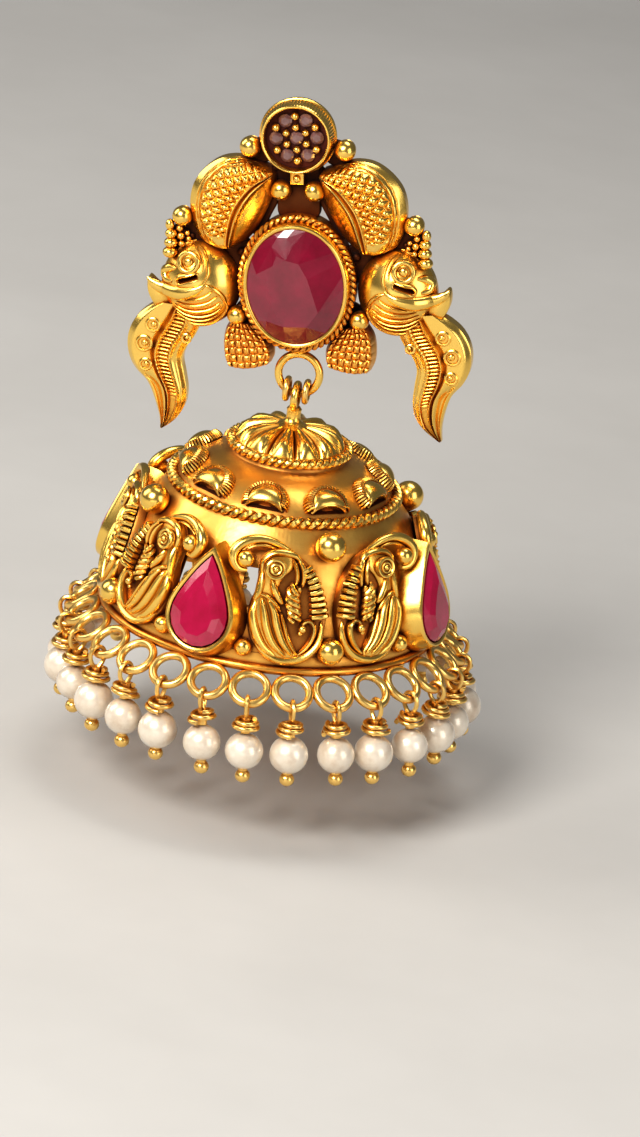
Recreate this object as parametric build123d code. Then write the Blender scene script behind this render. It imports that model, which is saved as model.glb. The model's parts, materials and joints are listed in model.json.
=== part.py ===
from build123d import *
import math
import os

# Jhumka earring: a crown that sits on the ear lobe, and a domed bell that hangs
# below it and carries a fringe of pearls.
# Millimetres, +Z up, front faces -Y. The origin is the lobe seat: the back face of
# the crown, on the axis of the ear post.

# ---------------------------------------------------------------- crown sizes
CROWN_TURN = 7.5          # the crown sits turned this much about its post, in degrees
POST_R, POST_LEN = 0.45, 10.0

OVAL_A, OVAL_B = 4.58, 5.51      # bezel outside, half width and half height
OVAL_SEAT_A, OVAL_SEAT_B = 4.20, 5.13
OVAL_RIM_Y, OVAL_FLOOR_Y = 3.0, 1.3
OVAL_STONE_GAP = 0.04
OVAL_TABLE_Y = 3.8
ROPE_A, ROPE_B, ROPE_R, ROPE_Y = 4.82, 5.82, 0.36, 1.90

DISC_Z = 12.95
DISC_BASE_R, DISC_RIM_R, DISC_WELL_R = 3.27, 2.98, 2.72
DISC_SHOULDER_Y, DISC_RIM_Y, DISC_FLOOR_Y = 1.0, 2.4, 1.55
DISC_STONE_R, DISC_STONE_RING, DISC_STONE_ANGLE = 0.58, 1.78, 3.0

DOME_X, DOME_Z, DOME_R = 8.64, -0.56, 3.56     # the round bird body
DOME_WALL_Y, DOME_TOP_Y = 0.9, 3.1

HANG_R, HANG_WIRE, HANG_Z, HANG_Y = 1.80, 0.35, -8.35, 1.2

# balls of the crown: x (mirrored), z, depth in front of the back face, radius
CROWN_BALLS = [
    dict(x=4.12, z=11.87, y=1.20, r=0.93),
    dict(x=1.46, z=8.17, y=1.35, r=0.92),
    dict(x=10.13, z=5.40, y=1.20, r=0.88),
    dict(x=5.35, z=-3.20, y=1.55, r=0.87),
]

# outlines of the right half of the crown, x and z, clockwise from the inner end
PAISLEY = [(1.75, 9.65), (3.10, 10.50), (4.85, 11.00), (6.95, 10.65), (8.45, 9.45),
           (9.40, 7.55), (9.25, 5.45), (8.45, 3.70), (7.10, 2.88), (5.60, 2.95),
           (4.30, 4.10), (2.90, 6.20), (2.15, 7.90)]
FAN = [(3.60, -4.30), (5.10, -3.60), (6.10, -3.95), (6.60, -5.20), (6.60, -6.60),
       (6.20, -7.80), (5.20, -8.35), (3.20, -7.85), (2.35, -7.20), (2.35, -5.60)]
TAIL = [(10.6, -2.2), (13.00, -2.65), (14.50, -4.15), (14.95, -6.15), (14.50, -7.75),
        (13.55, -9.40), (12.68, -11.10), (12.30, -12.65), (12.10, -14.00),
        (10.95, -13.30), (10.00, -12.00), (9.62, -10.60), (9.75, -9.00),
        (10.00, -7.60), (9.60, -6.10), (8.80, -4.40), (9.0, -2.8)]
BEAK = [(10.9, 1.5), (12.1, 0.9), (13.2, 0.35), (13.25, -0.35), (12.2, -1.6), (11.0, -2.3)]

# ----------------------------------------------------------------- bell sizes
CAP_APEX_Z = -12.95
CAP_RING_R, CAP_RING_Z, CAP_RING_WIRE = 5.12, -14.75, 0.36
SHOULDER_R, SHOULDER_Z = 9.85, -18.40
SHOULDER_WIRE = 0.40
RIM_R, RIM_Z, RIM_WIRE = 14.60, -30.20, 0.42
WALL = 0.60

PEAR_COUNT = 4
PEAR_1_ANGLE = -14.2      # degrees from -Y towards +X
PEAR_FACE_R, PEAR_FACE_Z, PEAR_LEAN = 15.20, -24.70, 14.0
PEAR_W, PEAR_UP, PEAR_DOWN = 3.15, 6.30, 1.60   # half width, widest line to tip, origin to widest line
PEAR_STONE_W, PEAR_STONE_UP = 2.60, 5.35
PEAR_DEPTH = 3.3

FIG_OFFSET = 29.0         # bird figure from its pear stone, degrees
FIG_HALF_W, FIG_HALF_H, FIG_Z = 2.95, 4.45, -24.85
CRESCENTS, CRESCENT_R, CRESCENT_1_ANGLE = 10, 2.10, -1.7

RINGS = 28
RING_1_ANGLE = -46.0
RING_R, RING_WIRE = 1.49, 0.33
RING_SLOPE, RING_REACH = 38.0, 2.14      # downwards from level, and from the rim wire's middle
RING_CENTRE_R = RIM_R + RING_REACH * math.cos(math.radians(RING_SLOPE))
RING_CENTRE_Z = RIM_Z - RING_REACH * math.sin(math.radians(RING_SLOPE))

PEARL_R, PEARL_HOLE_R = 1.75, 0.22
PIN_WIRE = 0.20
LOOP_HALF_W = 0.72        # of the pin's eye, to the middle of its wire
HANG_LINE_GAP = 0.06
DROPS_LEAN = 4.0          # every drop swings this far towards +X, in degrees

# how each drop leans, in degrees: sideways (+ towards the next ring) and outwards
def drop_lean(k):
    a = math.radians(RING_1_ANGLE + 360 / RINGS * k)
    return (2.6 * math.sin(2.3 * k + 0.4) + DROPS_LEAN * math.cos(a),
            1.5 + 1.8 * math.sin(1.7 * k + 1.1) + DROPS_LEAN * math.sin(a))


# ------------------------------------------------------------------- helpers
def front(depth):
    """Plane facing the viewer, this far in front of the back face."""
    return Plane.XZ.offset(depth)


def blob(points, scale=1.0):
    """Closed smooth outline on the front plane, scaled about its middle."""
    cx = sum(p[0] for p in points) / len(points)
    cz = sum(p[1] for p in points) / len(points)
    pts = [(cx + (x - cx) * scale, cz + (z - cz) * scale) for x, z in points]
    return make_face(Spline(*pts, periodic=True))


def slab(points, near, far):
    """Straight-sided plate with this outline, between two depths."""
    return extrude(front(near) * blob(points), amount=far - near)


def cushion(points, near, mid, far, top):
    """Plate whose front is drawn in to a smaller outline."""
    base = extrude(front(near) * blob(points), amount=mid - near)
    cap = loft([front(mid) * blob(points), front(far) * blob(points, top)])
    return base + cap


def along_y(shape):
    return Rot(90, 0, 0) * shape


def both(shape):
    return [shape, mirror(shape, about=Plane.YZ)]


def rod(a, b, r, r2=None):
    """Round or tapered rod between two points."""
    a, b = Vector(*a), Vector(*b)
    d = b - a
    plane = Plane(origin=a, z_dir=d)
    if r2 is None:
        return extrude(plane * Circle(r), amount=d.length)
    return loft([plane * Circle(r), plane.offset(d.length) * Circle(r2)])


def fuse(shapes):
    """One solid out of overlapping ones, joined one after the other."""
    out = shapes[0]
    for shape in shapes[1:]:
        out = out.fuse(shape)
    return out


turn = Rot(0, -CROWN_TURN, 0)


def spot(angle, radius, z):
    """Point round the bell's axis: angle in degrees from -Y towards +X."""
    t = math.radians(angle)
    return Vector(BELL_X + radius * math.sin(t), BELL_Y - radius * math.cos(t), z)


def facing(angle, radius, z, lean):
    """Plane that faces outwards from the bell's axis, tipped up by lean degrees."""
    t, e = math.radians(angle), math.radians(lean)
    return Plane(origin=spot(angle, radius, z), x_dir=(math.cos(t), math.sin(t), 0),
                 z_dir=(math.sin(t) * math.cos(e), -math.cos(t) * math.cos(e), math.sin(e)))


hang = Vector(
    -HANG_Z * math.sin(math.radians(CROWN_TURN)), -HANG_Y,
    HANG_Z * math.cos(math.radians(CROWN_TURN)))
BELL_X, BELL_Y = hang.X, hang.Y

# ----------------------------------------------------------------- the crown
crown = []
# oval setting: cup, rope ring round it
crown.append(extrude(front(0.0) * Ellipse(OVAL_A, OVAL_B), amount=OVAL_RIM_Y))
rope_path = front(ROPE_Y) * Ellipse(ROPE_A, ROPE_B).edges()[0]
crown.append(sweep(Plane(origin=rope_path @ 0, z_dir=rope_path % 0) * Circle(ROPE_R), path=rope_path))
crown.append(extrude(front(0.0) * Ellipse(ROPE_A, ROPE_B), amount=ROPE_Y))

# top disc: turned cup with a flared side
profile = Polyline((0, 0), (DISC_BASE_R, 0), (DISC_BASE_R, DISC_SHOULDER_Y), (DISC_RIM_R, DISC_RIM_Y),
                   (DISC_WELL_R, DISC_RIM_Y), (DISC_WELL_R, DISC_FLOOR_Y), (0, DISC_FLOOR_Y), close=True)
cup = revolve(make_face(profile), axis=Axis.Y)
crown.append(Pos(0, 0, DISC_Z) * Rot(0, 0, 180) * cup)
# neck of metal between disc and oval setting
crown.append(slab([(-1.7, 10.4), (1.7, 10.4), (2.1, 8.8), (1.9, 7.2), (1.5, 5.6), (-1.5, 5.6), (-1.9, 7.2), (-2.1, 8.8)], 0.0, 0.9))

for piece in (cushion(PAISLEY, 0.0, 1.2, 2.9, 0.66),
              cushion(FAN, 0.0, 1.1, 2.0, 0.82),
              slab(TAIL, 0.0, 1.7),
              slab(BEAK, 0.4, 2.3)):
    crown += both(piece)
# web behind the paisley, from the bird body to the disc
crown += both(slab([(2.0, 9.6), (4.6, 10.6), (5.2, 6.5), (4.4, 4.4), (3.4, 3.6), (2.6, 5.4), (1.6, 7.6)], 0.0, 0.8))
crown += both(slab([(4.2, 3.0), (6.4, 3.9), (7.2, 2.0), (6.0, 0.2), (4.4, 0.2)], 0.0, 0.8))
# web from the oval setting to the fan and its ball
crown += both(slab([(3.1, -3.3), (4.3, -1.9), (5.6, -2.6), (5.7, -4.0), (4.6, -5.0), (2.9, -5.2)], 0.0, 1.0))

# round bird bodies
cap_h = DOME_TOP_Y - DOME_WALL_Y
ball_r = (DOME_R ** 2 + cap_h ** 2) / (2 * cap_h)
dome = Pos(DOME_X, 0, DOME_Z) * (
    Pos(0, -DOME_TOP_Y + ball_r, 0) * Sphere(ball_r)
    & Pos(0, -DOME_TOP_Y / 2, 0) * Box(4 * DOME_R, DOME_TOP_Y, 4 * DOME_R)
    & along_y(Cylinder(DOME_R, 8 * DOME_R)))
crown += both(dome)
# crest above each bird
crown += both(rod((11.2, -1.3, 1.6), (11.25, -1.2, 4.7), 0.62, 0.36))

for ball in CROWN_BALLS:
    crown += both(Pos(ball["x"], -ball["y"], ball["z"]) * Sphere(ball["r"]))
# webs behind the balls and the crest
crown += both(slab([(2.3, 12.7), (4.5, 12.6), (5.1, 11.4), (4.2, 10.1), (2.5, 10.6)], 0.0, 0.75))
crown += both(slab([(8.5, 6.5), (10.3, 6.1), (11.3, 5.0), (11.4, 3.2), (10.7, 1.8), (8.9, 2.2), (8.0, 4.4)], 0.0, 0.75))

# hanging ring
crown.append(Pos(0, -HANG_Y, HANG_Z) * along_y(Torus(HANG_R, HANG_WIRE)))
crown.append(Pos(0, -HANG_Y, HANG_Z + HANG_R + 0.45) * Sphere(0.55))      # its solder under the oval setting

crown_frame = fuse(crown)
crown_frame -= extrude(front(OVAL_FLOOR_Y) * Ellipse(OVAL_SEAT_A, OVAL_SEAT_B), amount=4)
crown_frame = turn * crown_frame

# stones of the crown
g = OVAL_STONE_GAP
girdle = Ellipse(OVAL_SEAT_A - g, OVAL_SEAT_B - g)
oval_ruby = (extrude(front(OVAL_FLOOR_Y + g) * girdle, amount=OVAL_RIM_Y - OVAL_FLOOR_Y - g)
             + loft([front(OVAL_RIM_Y) * Ellipse(OVAL_SEAT_A - g, OVAL_SEAT_B - g),
                     front(OVAL_TABLE_Y) * Ellipse(2.35, 3.05)]))
oval_ruby = turn * oval_ruby

disc_stones = []
for i in range(7):
    a = math.radians(60 * i + DISC_STONE_ANGLE)
    dx, dz = (0, 0) if i == 6 else (DISC_STONE_RING * math.cos(a), DISC_STONE_RING * math.sin(a))
    disc_stones.append(turn * (Pos(dx, -(DISC_FLOOR_Y + 0.03 + 0.2), DISC_Z + dz)
                               * along_y(Cylinder(DISC_STONE_R, 0.4))))

# ear post: a plain pin with a rounded end
post = rod((0, 0.02, 0), (0, POST_LEN - POST_R, 0), POST_R)
ear_post = post + Pos(0, POST_LEN - POST_R, 0) * Sphere(POST_R)

# ------------------------------------------------------------ the connection
# The bell's eye rides on the hanging ring between two loose jump rings.
EYE_R, EYE_WIRE = 1.05, 0.33
JUMP_R, JUMP_WIRE, JUMP_X = 0.86, 0.28, 0.86
eye_top = hang.Z - HANG_R + HANG_WIRE + EYE_WIRE + 0.10
eye_z = eye_top - EYE_R
jump_top = hang.Z - 0.64
jump_z = jump_top - JUMP_R


def across_x(shape):
    return Rot(0, 90, 0) * shape


jump_rings = [Pos(BELL_X + s * JUMP_X, BELL_Y, jump_z) * across_x(Torus(JUMP_R, JUMP_WIRE)) for s in (-1, 1)]

# ------------------------------------------------------------------ the bell
outer_mid = (12.75, -23.2)
outline = [
    Spline((0, CAP_APEX_Z), (3.0, CAP_APEX_Z - 0.50), (CAP_RING_R - 0.1, CAP_RING_Z)),
    Line((CAP_RING_R - 0.1, CAP_RING_Z), (CAP_RING_R - 0.1, CAP_RING_Z - 0.75)),
    Spline((CAP_RING_R - 0.1, CAP_RING_Z - 0.75), (7.7, -16.55), (SHOULDER_R - 0.1, SHOULDER_Z - 0.1)),
    Spline((SHOULDER_R - 0.1, SHOULDER_Z - 0.1), outer_mid, (RIM_R, RIM_Z)),
    Line((RIM_R, RIM_Z), (RIM_R - WALL, RIM_Z)),
    Spline((RIM_R - WALL, RIM_Z), (outer_mid[0] - WALL, outer_mid[1] - 0.2),
                  (SHOULDER_R - 0.1 - WALL, SHOULDER_Z - 0.5)),
    Spline((SHOULDER_R - 0.1 - WALL, SHOULDER_Z - 0.5), (7.3, -17.1), (CAP_RING_R - 0.7, CAP_RING_Z - 1.2)),
    Line((CAP_RING_R - 0.7, CAP_RING_Z - 1.2), (CAP_RING_R - 0.7, CAP_RING_Z - 0.3)),
    Spline((CAP_RING_R - 0.7, CAP_RING_Z - 0.3), (2.6, CAP_APEX_Z - 1.05), (0, CAP_APEX_Z - 0.65)),
    Line((0, CAP_APEX_Z - 0.65), (0, CAP_APEX_Z)),
]
shell = Pos(BELL_X, BELL_Y, 0) * revolve(Plane.XZ * make_face(Wire(outline)), axis=Axis.Z)


def pear(w, up):
    """Pear outline: round below, pointed above; origin between them."""
    v = -PEAR_DOWN
    return make_face(Wire([
        ThreePointArc((0, v + up), (w * 0.74, v + up * 0.42), (w, v)),
        ThreePointArc((w, v), (0, v - w), (-w, v)),
        ThreePointArc((-w, v), (-w * 0.74, v + up * 0.42), (0, v + up))]))


pear_angles = [PEAR_1_ANGLE + 360 / PEAR_COUNT * i for i in range(PEAR_COUNT)]

# open work of the wall: an opening on each side of every pear stone
cuts = []
for a in pear_angles:
    for da in (-13.6, 13.6):
        p = facing(a + da, 12.4, -23.7, 14)
        cuts.append(p * Box(1.2, 3.2, 5.0))
shell = shell.cut(*cuts)

bell = [shell]
bell.append(Pos(BELL_X, BELL_Y, CAP_RING_Z) * Torus(CAP_RING_R, CAP_RING_WIRE))
bell.append(Pos(BELL_X, BELL_Y, SHOULDER_Z) * Torus(SHOULDER_R, SHOULDER_WIRE))
bell.append(Pos(BELL_X, BELL_Y, RIM_Z) * Torus(RIM_R, RIM_WIRE))

# stem and eye on top of the cap
stem_top = eye_z - EYE_R - 0.10
bell.append(rod((BELL_X, BELL_Y, stem_top), (BELL_X, BELL_Y, CAP_APEX_Z - 0.3), 0.62, 0.95))
bell.append(Pos(BELL_X, BELL_Y, eye_z) * across_x(Torus(EYE_R, EYE_WIRE)))

# half-moon bosses on the shoulder
for i in range(CRESCENTS):
    p = facing(CRESCENT_1_ANGLE + 360 / CRESCENTS * i, 8.45, -17.15, 56)
    half = Circle(CRESCENT_R) & Pos(0, CRESCENT_R / 2) * Rectangle(2 * CRESCENT_R, CRESCENT_R)
    bell.append(extrude(p.offset(-0.45) * half, amount=1.0))

for a in pear_angles:
    face = facing(a, PEAR_FACE_R, PEAR_FACE_Z, PEAR_LEAN)
    bell.append(extrude(face.offset(-PEAR_DEPTH) * pear(PEAR_W, PEAR_UP), amount=PEAR_DEPTH))
    for side in (-1, 1):
        # bird figure: a raised oval plate on the wall
        p = facing(a + side * FIG_OFFSET, 12.95, FIG_Z, 15)
        bell.append(extrude(p.offset(-0.8) * Ellipse(FIG_HALF_W, FIG_HALF_H), amount=1.7))
        bell.append(facing(a + side * 15.2, 14.5, -28.5, 14) * Sphere(0.80))
        bell.append(facing(a + side * 12.4, 12.0, -20.6, 25) * Sphere(0.75))
    bell.append(facing(a + 45, 11.7, -19.75, 25) * Sphere(1.32))
    bell.append(facing(a + 45, 14.7, -28.3, 14) * Sphere(1.18))

slope = math.radians(RING_SLOPE)
ring_angles = [RING_1_ANGLE + 360 / RINGS * k for k in range(RINGS)]
for a in ring_angles:
    p = facing(a, RING_CENTRE_R, RING_CENTRE_Z, 90 - RING_SLOPE)
    bell.append(p * Torus(RING_R, RING_WIRE))

bell_shell = fuse(bell)
for a in pear_angles:
    face = facing(a, PEAR_FACE_R, PEAR_FACE_Z, PEAR_LEAN)
    bell_shell -= extrude(face.offset(-1.2) * pear(PEAR_STONE_W + 0.03, PEAR_STONE_UP + 0.05), amount=3)
# keep the inside of the bell hollow behind the settings and figures
inner = make_face(Wire([
    Spline((RIM_R - WALL - 0.55, RIM_Z - 1.2), (outer_mid[0] - WALL - 0.75, outer_mid[1] - 0.2),
                  (SHOULDER_R - 0.7 - WALL, SHOULDER_Z - 0.8)),
    Line((SHOULDER_R - 0.7 - WALL, SHOULDER_Z - 0.8), (0, SHOULDER_Z - 0.8)),
    Line((0, SHOULDER_Z - 0.8), (0, RIM_Z - 1.2)),
    Line((0, RIM_Z - 1.2), (RIM_R - WALL - 0.55, RIM_Z - 1.2))]))
bell_shell -= Pos(BELL_X, BELL_Y, 0) * revolve(Plane.XZ * inner, axis=Axis.Z)

pear_rubies = []
for a in pear_angles:
    face = facing(a, PEAR_FACE_R, PEAR_FACE_Z, PEAR_LEAN)
    body = extrude(face.offset(-1.15) * pear(PEAR_STONE_W, PEAR_STONE_UP), amount=1.15)
    top = loft([face * pear(PEAR_STONE_W, PEAR_STONE_UP),
                face.offset(0.65) * Pos(0, -0.25) * pear(PEAR_STONE_W * 0.62, PEAR_STONE_UP * 0.68)])
    pear_rubies.append(body + top)

# ------------------------------------------------------------ the pearl drops
foot_r = RING_CENTRE_R + RING_R * math.cos(slope)
foot_z = RING_CENTRE_Z - RING_R * math.sin(slope)
EYE_TOP = RING_WIRE + HANG_LINE_GAP + PIN_WIRE       # above the ring's wire
EYE_DOWN = 1.30                                      # to the foot of the straight sides
PEARL_DOWN = 4.25                                    # ring wire to pearl middle
BALL_R = 0.62


def pin():
    """Headed pin at its own origin, the middle of the ring's wire; hangs along -Z."""
    w, top = LOOP_HALF_W, EYE_TOP
    path = Wire([
        ThreePointArc((-w, top - w), (0, top), (w, top - w)),
        Line((w, top - w), (w, -EYE_DOWN + w)),
        ThreePointArc((w, -EYE_DOWN + w), (0, -EYE_DOWN), (-w, -EYE_DOWN + w)),
        Line((-w, -EYE_DOWN + w), (-w, top - w))])
    path = Plane.YZ * path
    start = path @ 0
    eye = sweep(Plane(origin=start, z_dir=path % 0) * Circle(PIN_WIRE), path=path)
    body = [eye,
            rod((0, 0, -EYE_DOWN + 0.05), (0, 0, -PEARL_DOWN - PEARL_R - 0.60), 0.17),
            Pos(0, 0, -EYE_DOWN - 0.45) * Torus(0.62, 0.24),
            Pos(0, 0, -EYE_DOWN - 0.45) * Cylinder(0.62, 0.30),
            Pos(0, 0, -EYE_DOWN - 0.83) * Torus(0.78, 0.24),
            Pos(0, 0, -EYE_DOWN - 0.83) * Cylinder(0.78, 0.30),
            Pos(0, 0, -PEARL_DOWN - PEARL_R - 0.65) * Sphere(BALL_R)]
    return fuse(body)


one_pin = pin()
one_pearl = Pos(0, 0, -PEARL_DOWN) * (Sphere(PEARL_R) - Cylinder(PEARL_HOLE_R, 3 * PEARL_R))
pins, pearls = [], []
for k, a in enumerate(ring_angles):
    side, out = drop_lean(k)
    foot = spot(a, foot_r, foot_z)
    # -Y of the drop faces outwards from the bell, then it leans
    place = Pos(*foot) * Rot(0, 0, a) * Rot(-out, 0, 0) * Rot(0, -side, 0)
    pins.append(place * one_pin)
    pearls.append(place * one_pearl)

# ---------------------------------------------------------------- the files
os.makedirs("parts", exist_ok=True)
nodes = {"crown_frame": crown_frame, "oval_ruby": oval_ruby, "disc_stones": Compound(children=disc_stones),
         "ear_post": ear_post, "jump_ring_left": jump_rings[0], "jump_ring_right": jump_rings[1],
         "bell_shell": bell_shell}
for i, stone in enumerate(pear_rubies):
    nodes[f"pear_ruby_{i + 1}"] = stone
for k, bead in enumerate(pearls):
    nodes[f"pearl_{k + 1:02d}"] = bead
for q in range(4):
    nodes[f"drop_pins_{q + 1}"] = Compound(children=pins[7 * q:7 * q + 7])
for name, shape in nodes.items():
    shape.label = name
    export_step(shape, f"parts/{name}.step")
print({name: (len(shape.solids()), all(s.is_valid for s in shape.solids()),
              round(sum(s.volume for s in shape.solids()), 1)) for name, shape in nodes.items()
       if not name.startswith("pearl")})
print("hang point", hang, "eye z", round(eye_z, 3), "jump z", round(jump_z, 3))
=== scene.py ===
import bpy
import bmesh
import json
import math
import numpy as np
from mathutils import Matrix, Vector
from mathutils.geometry import tessellate_polygon


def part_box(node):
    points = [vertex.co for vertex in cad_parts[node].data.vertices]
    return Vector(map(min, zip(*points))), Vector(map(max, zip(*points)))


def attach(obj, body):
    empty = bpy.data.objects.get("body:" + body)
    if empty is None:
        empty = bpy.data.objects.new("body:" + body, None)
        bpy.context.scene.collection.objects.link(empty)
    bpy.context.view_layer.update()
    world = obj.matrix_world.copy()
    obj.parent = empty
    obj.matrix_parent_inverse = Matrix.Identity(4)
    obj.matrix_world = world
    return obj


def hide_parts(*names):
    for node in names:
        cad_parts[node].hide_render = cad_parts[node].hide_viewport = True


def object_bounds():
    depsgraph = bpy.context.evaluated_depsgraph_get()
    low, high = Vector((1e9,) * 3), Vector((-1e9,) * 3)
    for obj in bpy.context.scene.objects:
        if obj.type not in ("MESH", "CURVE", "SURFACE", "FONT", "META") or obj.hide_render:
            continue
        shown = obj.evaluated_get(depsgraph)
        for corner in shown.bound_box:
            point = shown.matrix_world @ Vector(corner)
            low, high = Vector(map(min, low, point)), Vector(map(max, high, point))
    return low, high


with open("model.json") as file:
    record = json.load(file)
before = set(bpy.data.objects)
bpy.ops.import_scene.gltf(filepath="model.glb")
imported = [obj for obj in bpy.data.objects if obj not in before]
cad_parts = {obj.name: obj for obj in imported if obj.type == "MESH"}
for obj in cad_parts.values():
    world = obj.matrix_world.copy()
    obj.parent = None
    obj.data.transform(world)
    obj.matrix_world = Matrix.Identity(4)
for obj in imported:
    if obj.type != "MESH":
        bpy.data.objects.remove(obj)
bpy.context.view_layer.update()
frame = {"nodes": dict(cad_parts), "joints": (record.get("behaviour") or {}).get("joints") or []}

# Shapes are worked out in millimetres and set down in the row frame in metres.
MM = 0.001
JOINTS = {j["name"]: j for j in frame["joints"]}
HANG = np.array(JOINTS["side_swing"]["pos_m"]) / MM
HANG_R = 1.80
BX, BY = HANG[0], HANG[1]
TURN = math.atan2(HANG[0], -HANG[2])


# --------------------------------------------------------------- mesh kit
class Build:
    """Vertices and faces of one piece, in millimetres."""

    def __init__(self):
        self.v, self.q, self.t, self.n = [], [], [], 0

    def add(self, v, q=None, t=None):
        v = np.asarray(v, float).reshape(-1, 3)
        if q is not None and len(q):
            self.q.append(np.asarray(q, int) + self.n)
        if t is not None and len(t):
            self.t.append(np.asarray(t, int) + self.n)
        self.v.append(v)
        self.n += len(v)

    def put(self, other, place, flip=False):
        """Another build's shapes, moved by a function."""
        if not other.v:
            return
        v = place(np.vstack(other.v))
        base = self.n
        for q in other.q:
            self.q.append((q[:, ::-1] if flip else q) + base)
        for t in other.t:
            self.t.append((t[:, ::-1] if flip else t) + base)
        self.v.append(v)
        self.n += len(v)

    def make(self, name, material, body, nodes=(), sharp=38, smooth=True):
        v = np.vstack(self.v) * MM
        faces = []
        for q in self.q:
            faces += q.tolist()
        for t in self.t:
            faces += t.tolist()
        me = bpy.data.meshes.new(name)
        me.from_pydata(v.tolist(), [], faces)
        me.validate()
        if smooth:
            me.polygons.foreach_set("use_smooth", [True] * len(me.polygons))
            me.set_sharp_from_angle(angle=math.radians(sharp))
        me.materials.append(material)
        ob = bpy.data.objects.new(name, me)
        bpy.context.scene.collection.objects.link(ob)
        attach(ob, body)
        if nodes:
            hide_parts(*nodes)
        return ob


def grid_faces(nu, nv, wu=False, wv=False):
    a, b = np.meshgrid(np.arange(nu if wu else nu - 1), np.arange(nv if wv else nv - 1), indexing="ij")
    a2, b2 = (a + 1) % nu, (b + 1) % nv
    return np.stack([a * nv + b, a2 * nv + b, a2 * nv + b2, a * nv + b2], -1).reshape(-1, 4)


def sheet_of(b, P, wu=False, wv=False):
    nu, nv = P.shape[:2]
    b.add(P.reshape(-1, 3), grid_faces(nu, nv, wu, wv))


def unit(a):
    return a / np.maximum(np.linalg.norm(a, axis=-1, keepdims=True), 1e-12)


def smooth_line(pts, n, closed=False):
    """Even points on a rounded line through pts."""
    p = np.asarray(pts, float)
    if closed:
        p = np.vstack([p[-1], p, p[0], p[1]])
    else:
        p = np.vstack([2 * p[0] - p[1], p, 2 * p[-1] - p[-2]])
    out = []
    for i in range(1, len(p) - 2):
        t = np.linspace(0, 1, 24, endpoint=False)[:, None]
        a, b_, c, d = p[i - 1], p[i], p[i + 1], p[i + 2]
        out.append(0.5 * (2 * b_ + (c - a) * t + (2 * a - 5 * b_ + 4 * c - d) * t ** 2
                          + (3 * b_ - 3 * c + d - a) * t ** 3))
    out = np.vstack(out + [p[-2][None]])
    s = np.concatenate([[0], np.cumsum(np.linalg.norm(np.diff(out, axis=0), axis=1))])
    at = np.linspace(0, s[-1], n, endpoint=not closed)
    return np.stack([np.interp(at, s, out[:, k]) for k in range(p.shape[1])], -1)


def line_frames(p, closed, up=None):
    t = unit(np.roll(p, -1, 0) - np.roll(p, 1, 0)) if closed else unit(np.gradient(p, axis=0))
    if up is not None:
        side = unit(np.cross(t, up))
        return side, np.cross(side, t)
    first = np.array([0.0, 0.0, 1.0]) if abs(t[0][2]) < 0.9 else np.array([1.0, 0.0, 0.0])
    n = unit(first - t[0] * (first @ t[0]))
    side = [n]
    for i in range(1, len(p)):
        n = unit(n - t[i] * (n @ t[i]))
        side.append(n)
    side = np.array(side)
    return side, np.cross(t, side)


def tube(b, p, rs, rw=None, n=10, closed=False, up=None):
    """Tube along p, half width rs sideways and rw along up; numbers or one per point."""
    p = np.asarray(p, float)
    side, top = line_frames(p, closed, up)
    rs = np.broadcast_to(np.asarray(rs, float), (len(p),))
    rw = rs if rw is None else np.broadcast_to(np.asarray(rw, float), (len(p),))
    phi = np.arange(n) * 2 * math.pi / n
    P = (p[:, None] + side[:, None] * (rs[:, None] * np.cos(phi))[..., None]
         + top[:, None] * (rw[:, None] * np.sin(phi))[..., None])
    sheet_of(b, P, wu=closed, wv=True)
    if not closed:
        for k, flip in ((0, True), (len(p) - 1, False)):
            ring = P[k]
            idx = [[0, j + 1, (j + 1) % n + 1] for j in range(n)]
            if flip:
                idx = [[i[0], i[2], i[1]] for i in idx]
            b.add(np.vstack([ring.mean(0), ring]), t=idx)


def taper(n, low=0.12, power=0.5):
    """Widths that swell from one thin end and close at the other."""
    s = np.linspace(0, 1, n)
    return low + (1 - low) * np.sin(math.pi * s) ** power


UPW = np.array([0.0, 0.0, 1.0])


def ridge(b, pts, w, hw, h, n=40, low=0.15, power=0.5, sides=12, surf=None, closed=False, widths=None):
    """Raised rounded line on a plate: pts in the plate's plane, w its foot height."""
    p2 = smooth_line(pts, n, closed)
    k = np.ones(n) if closed else taper(n, low, power)
    if widths is not None:
        k = np.interp(np.linspace(0, 1, n), np.linspace(0, 1, len(widths)), widths)
    foot = (surf(p2[:, 0], p2[:, 1]) if surf else 0) + w
    p = np.column_stack([p2, foot * np.ones(n)])
    tube(b, p, hw * k, h * k, n=sides, closed=closed, up=UPW)


_ico = {}


def ball(b, c, r, level=3, scale=(1, 1, 1)):
    if level not in _ico:
        bm = bmesh.new()
        bmesh.ops.create_icosphere(bm, subdivisions=level, radius=1)
        bm.verts.ensure_lookup_table()
        _ico[level] = (np.array([v.co[:] for v in bm.verts]),
                       np.array([[v.index for v in f.verts] for f in bm.faces]))
        bm.free()
    v, t = _ico[level]
    b.add(v * r * np.array(scale) + np.asarray(c, float), t=t)


def ring(b, c, R, r, e1, e2, nu=40, nv=12):
    """Torus with its circle in the plane of e1 and e2."""
    e1, e2 = np.asarray(e1, float), np.asarray(e2, float)
    e3 = np.cross(e1, e2)
    th = np.arange(nu) * 2 * math.pi / nu
    ph = np.arange(nv) * 2 * math.pi / nv
    out = np.cos(th)[:, None] * e1 + np.sin(th)[:, None] * e2
    P = (np.asarray(c, float) + out[:, None] * (R + r * np.cos(ph))[None, :, None]
         + e3 * (r * np.sin(ph))[None, :, None])
    sheet_of(b, P, wu=True, wv=True)


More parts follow.
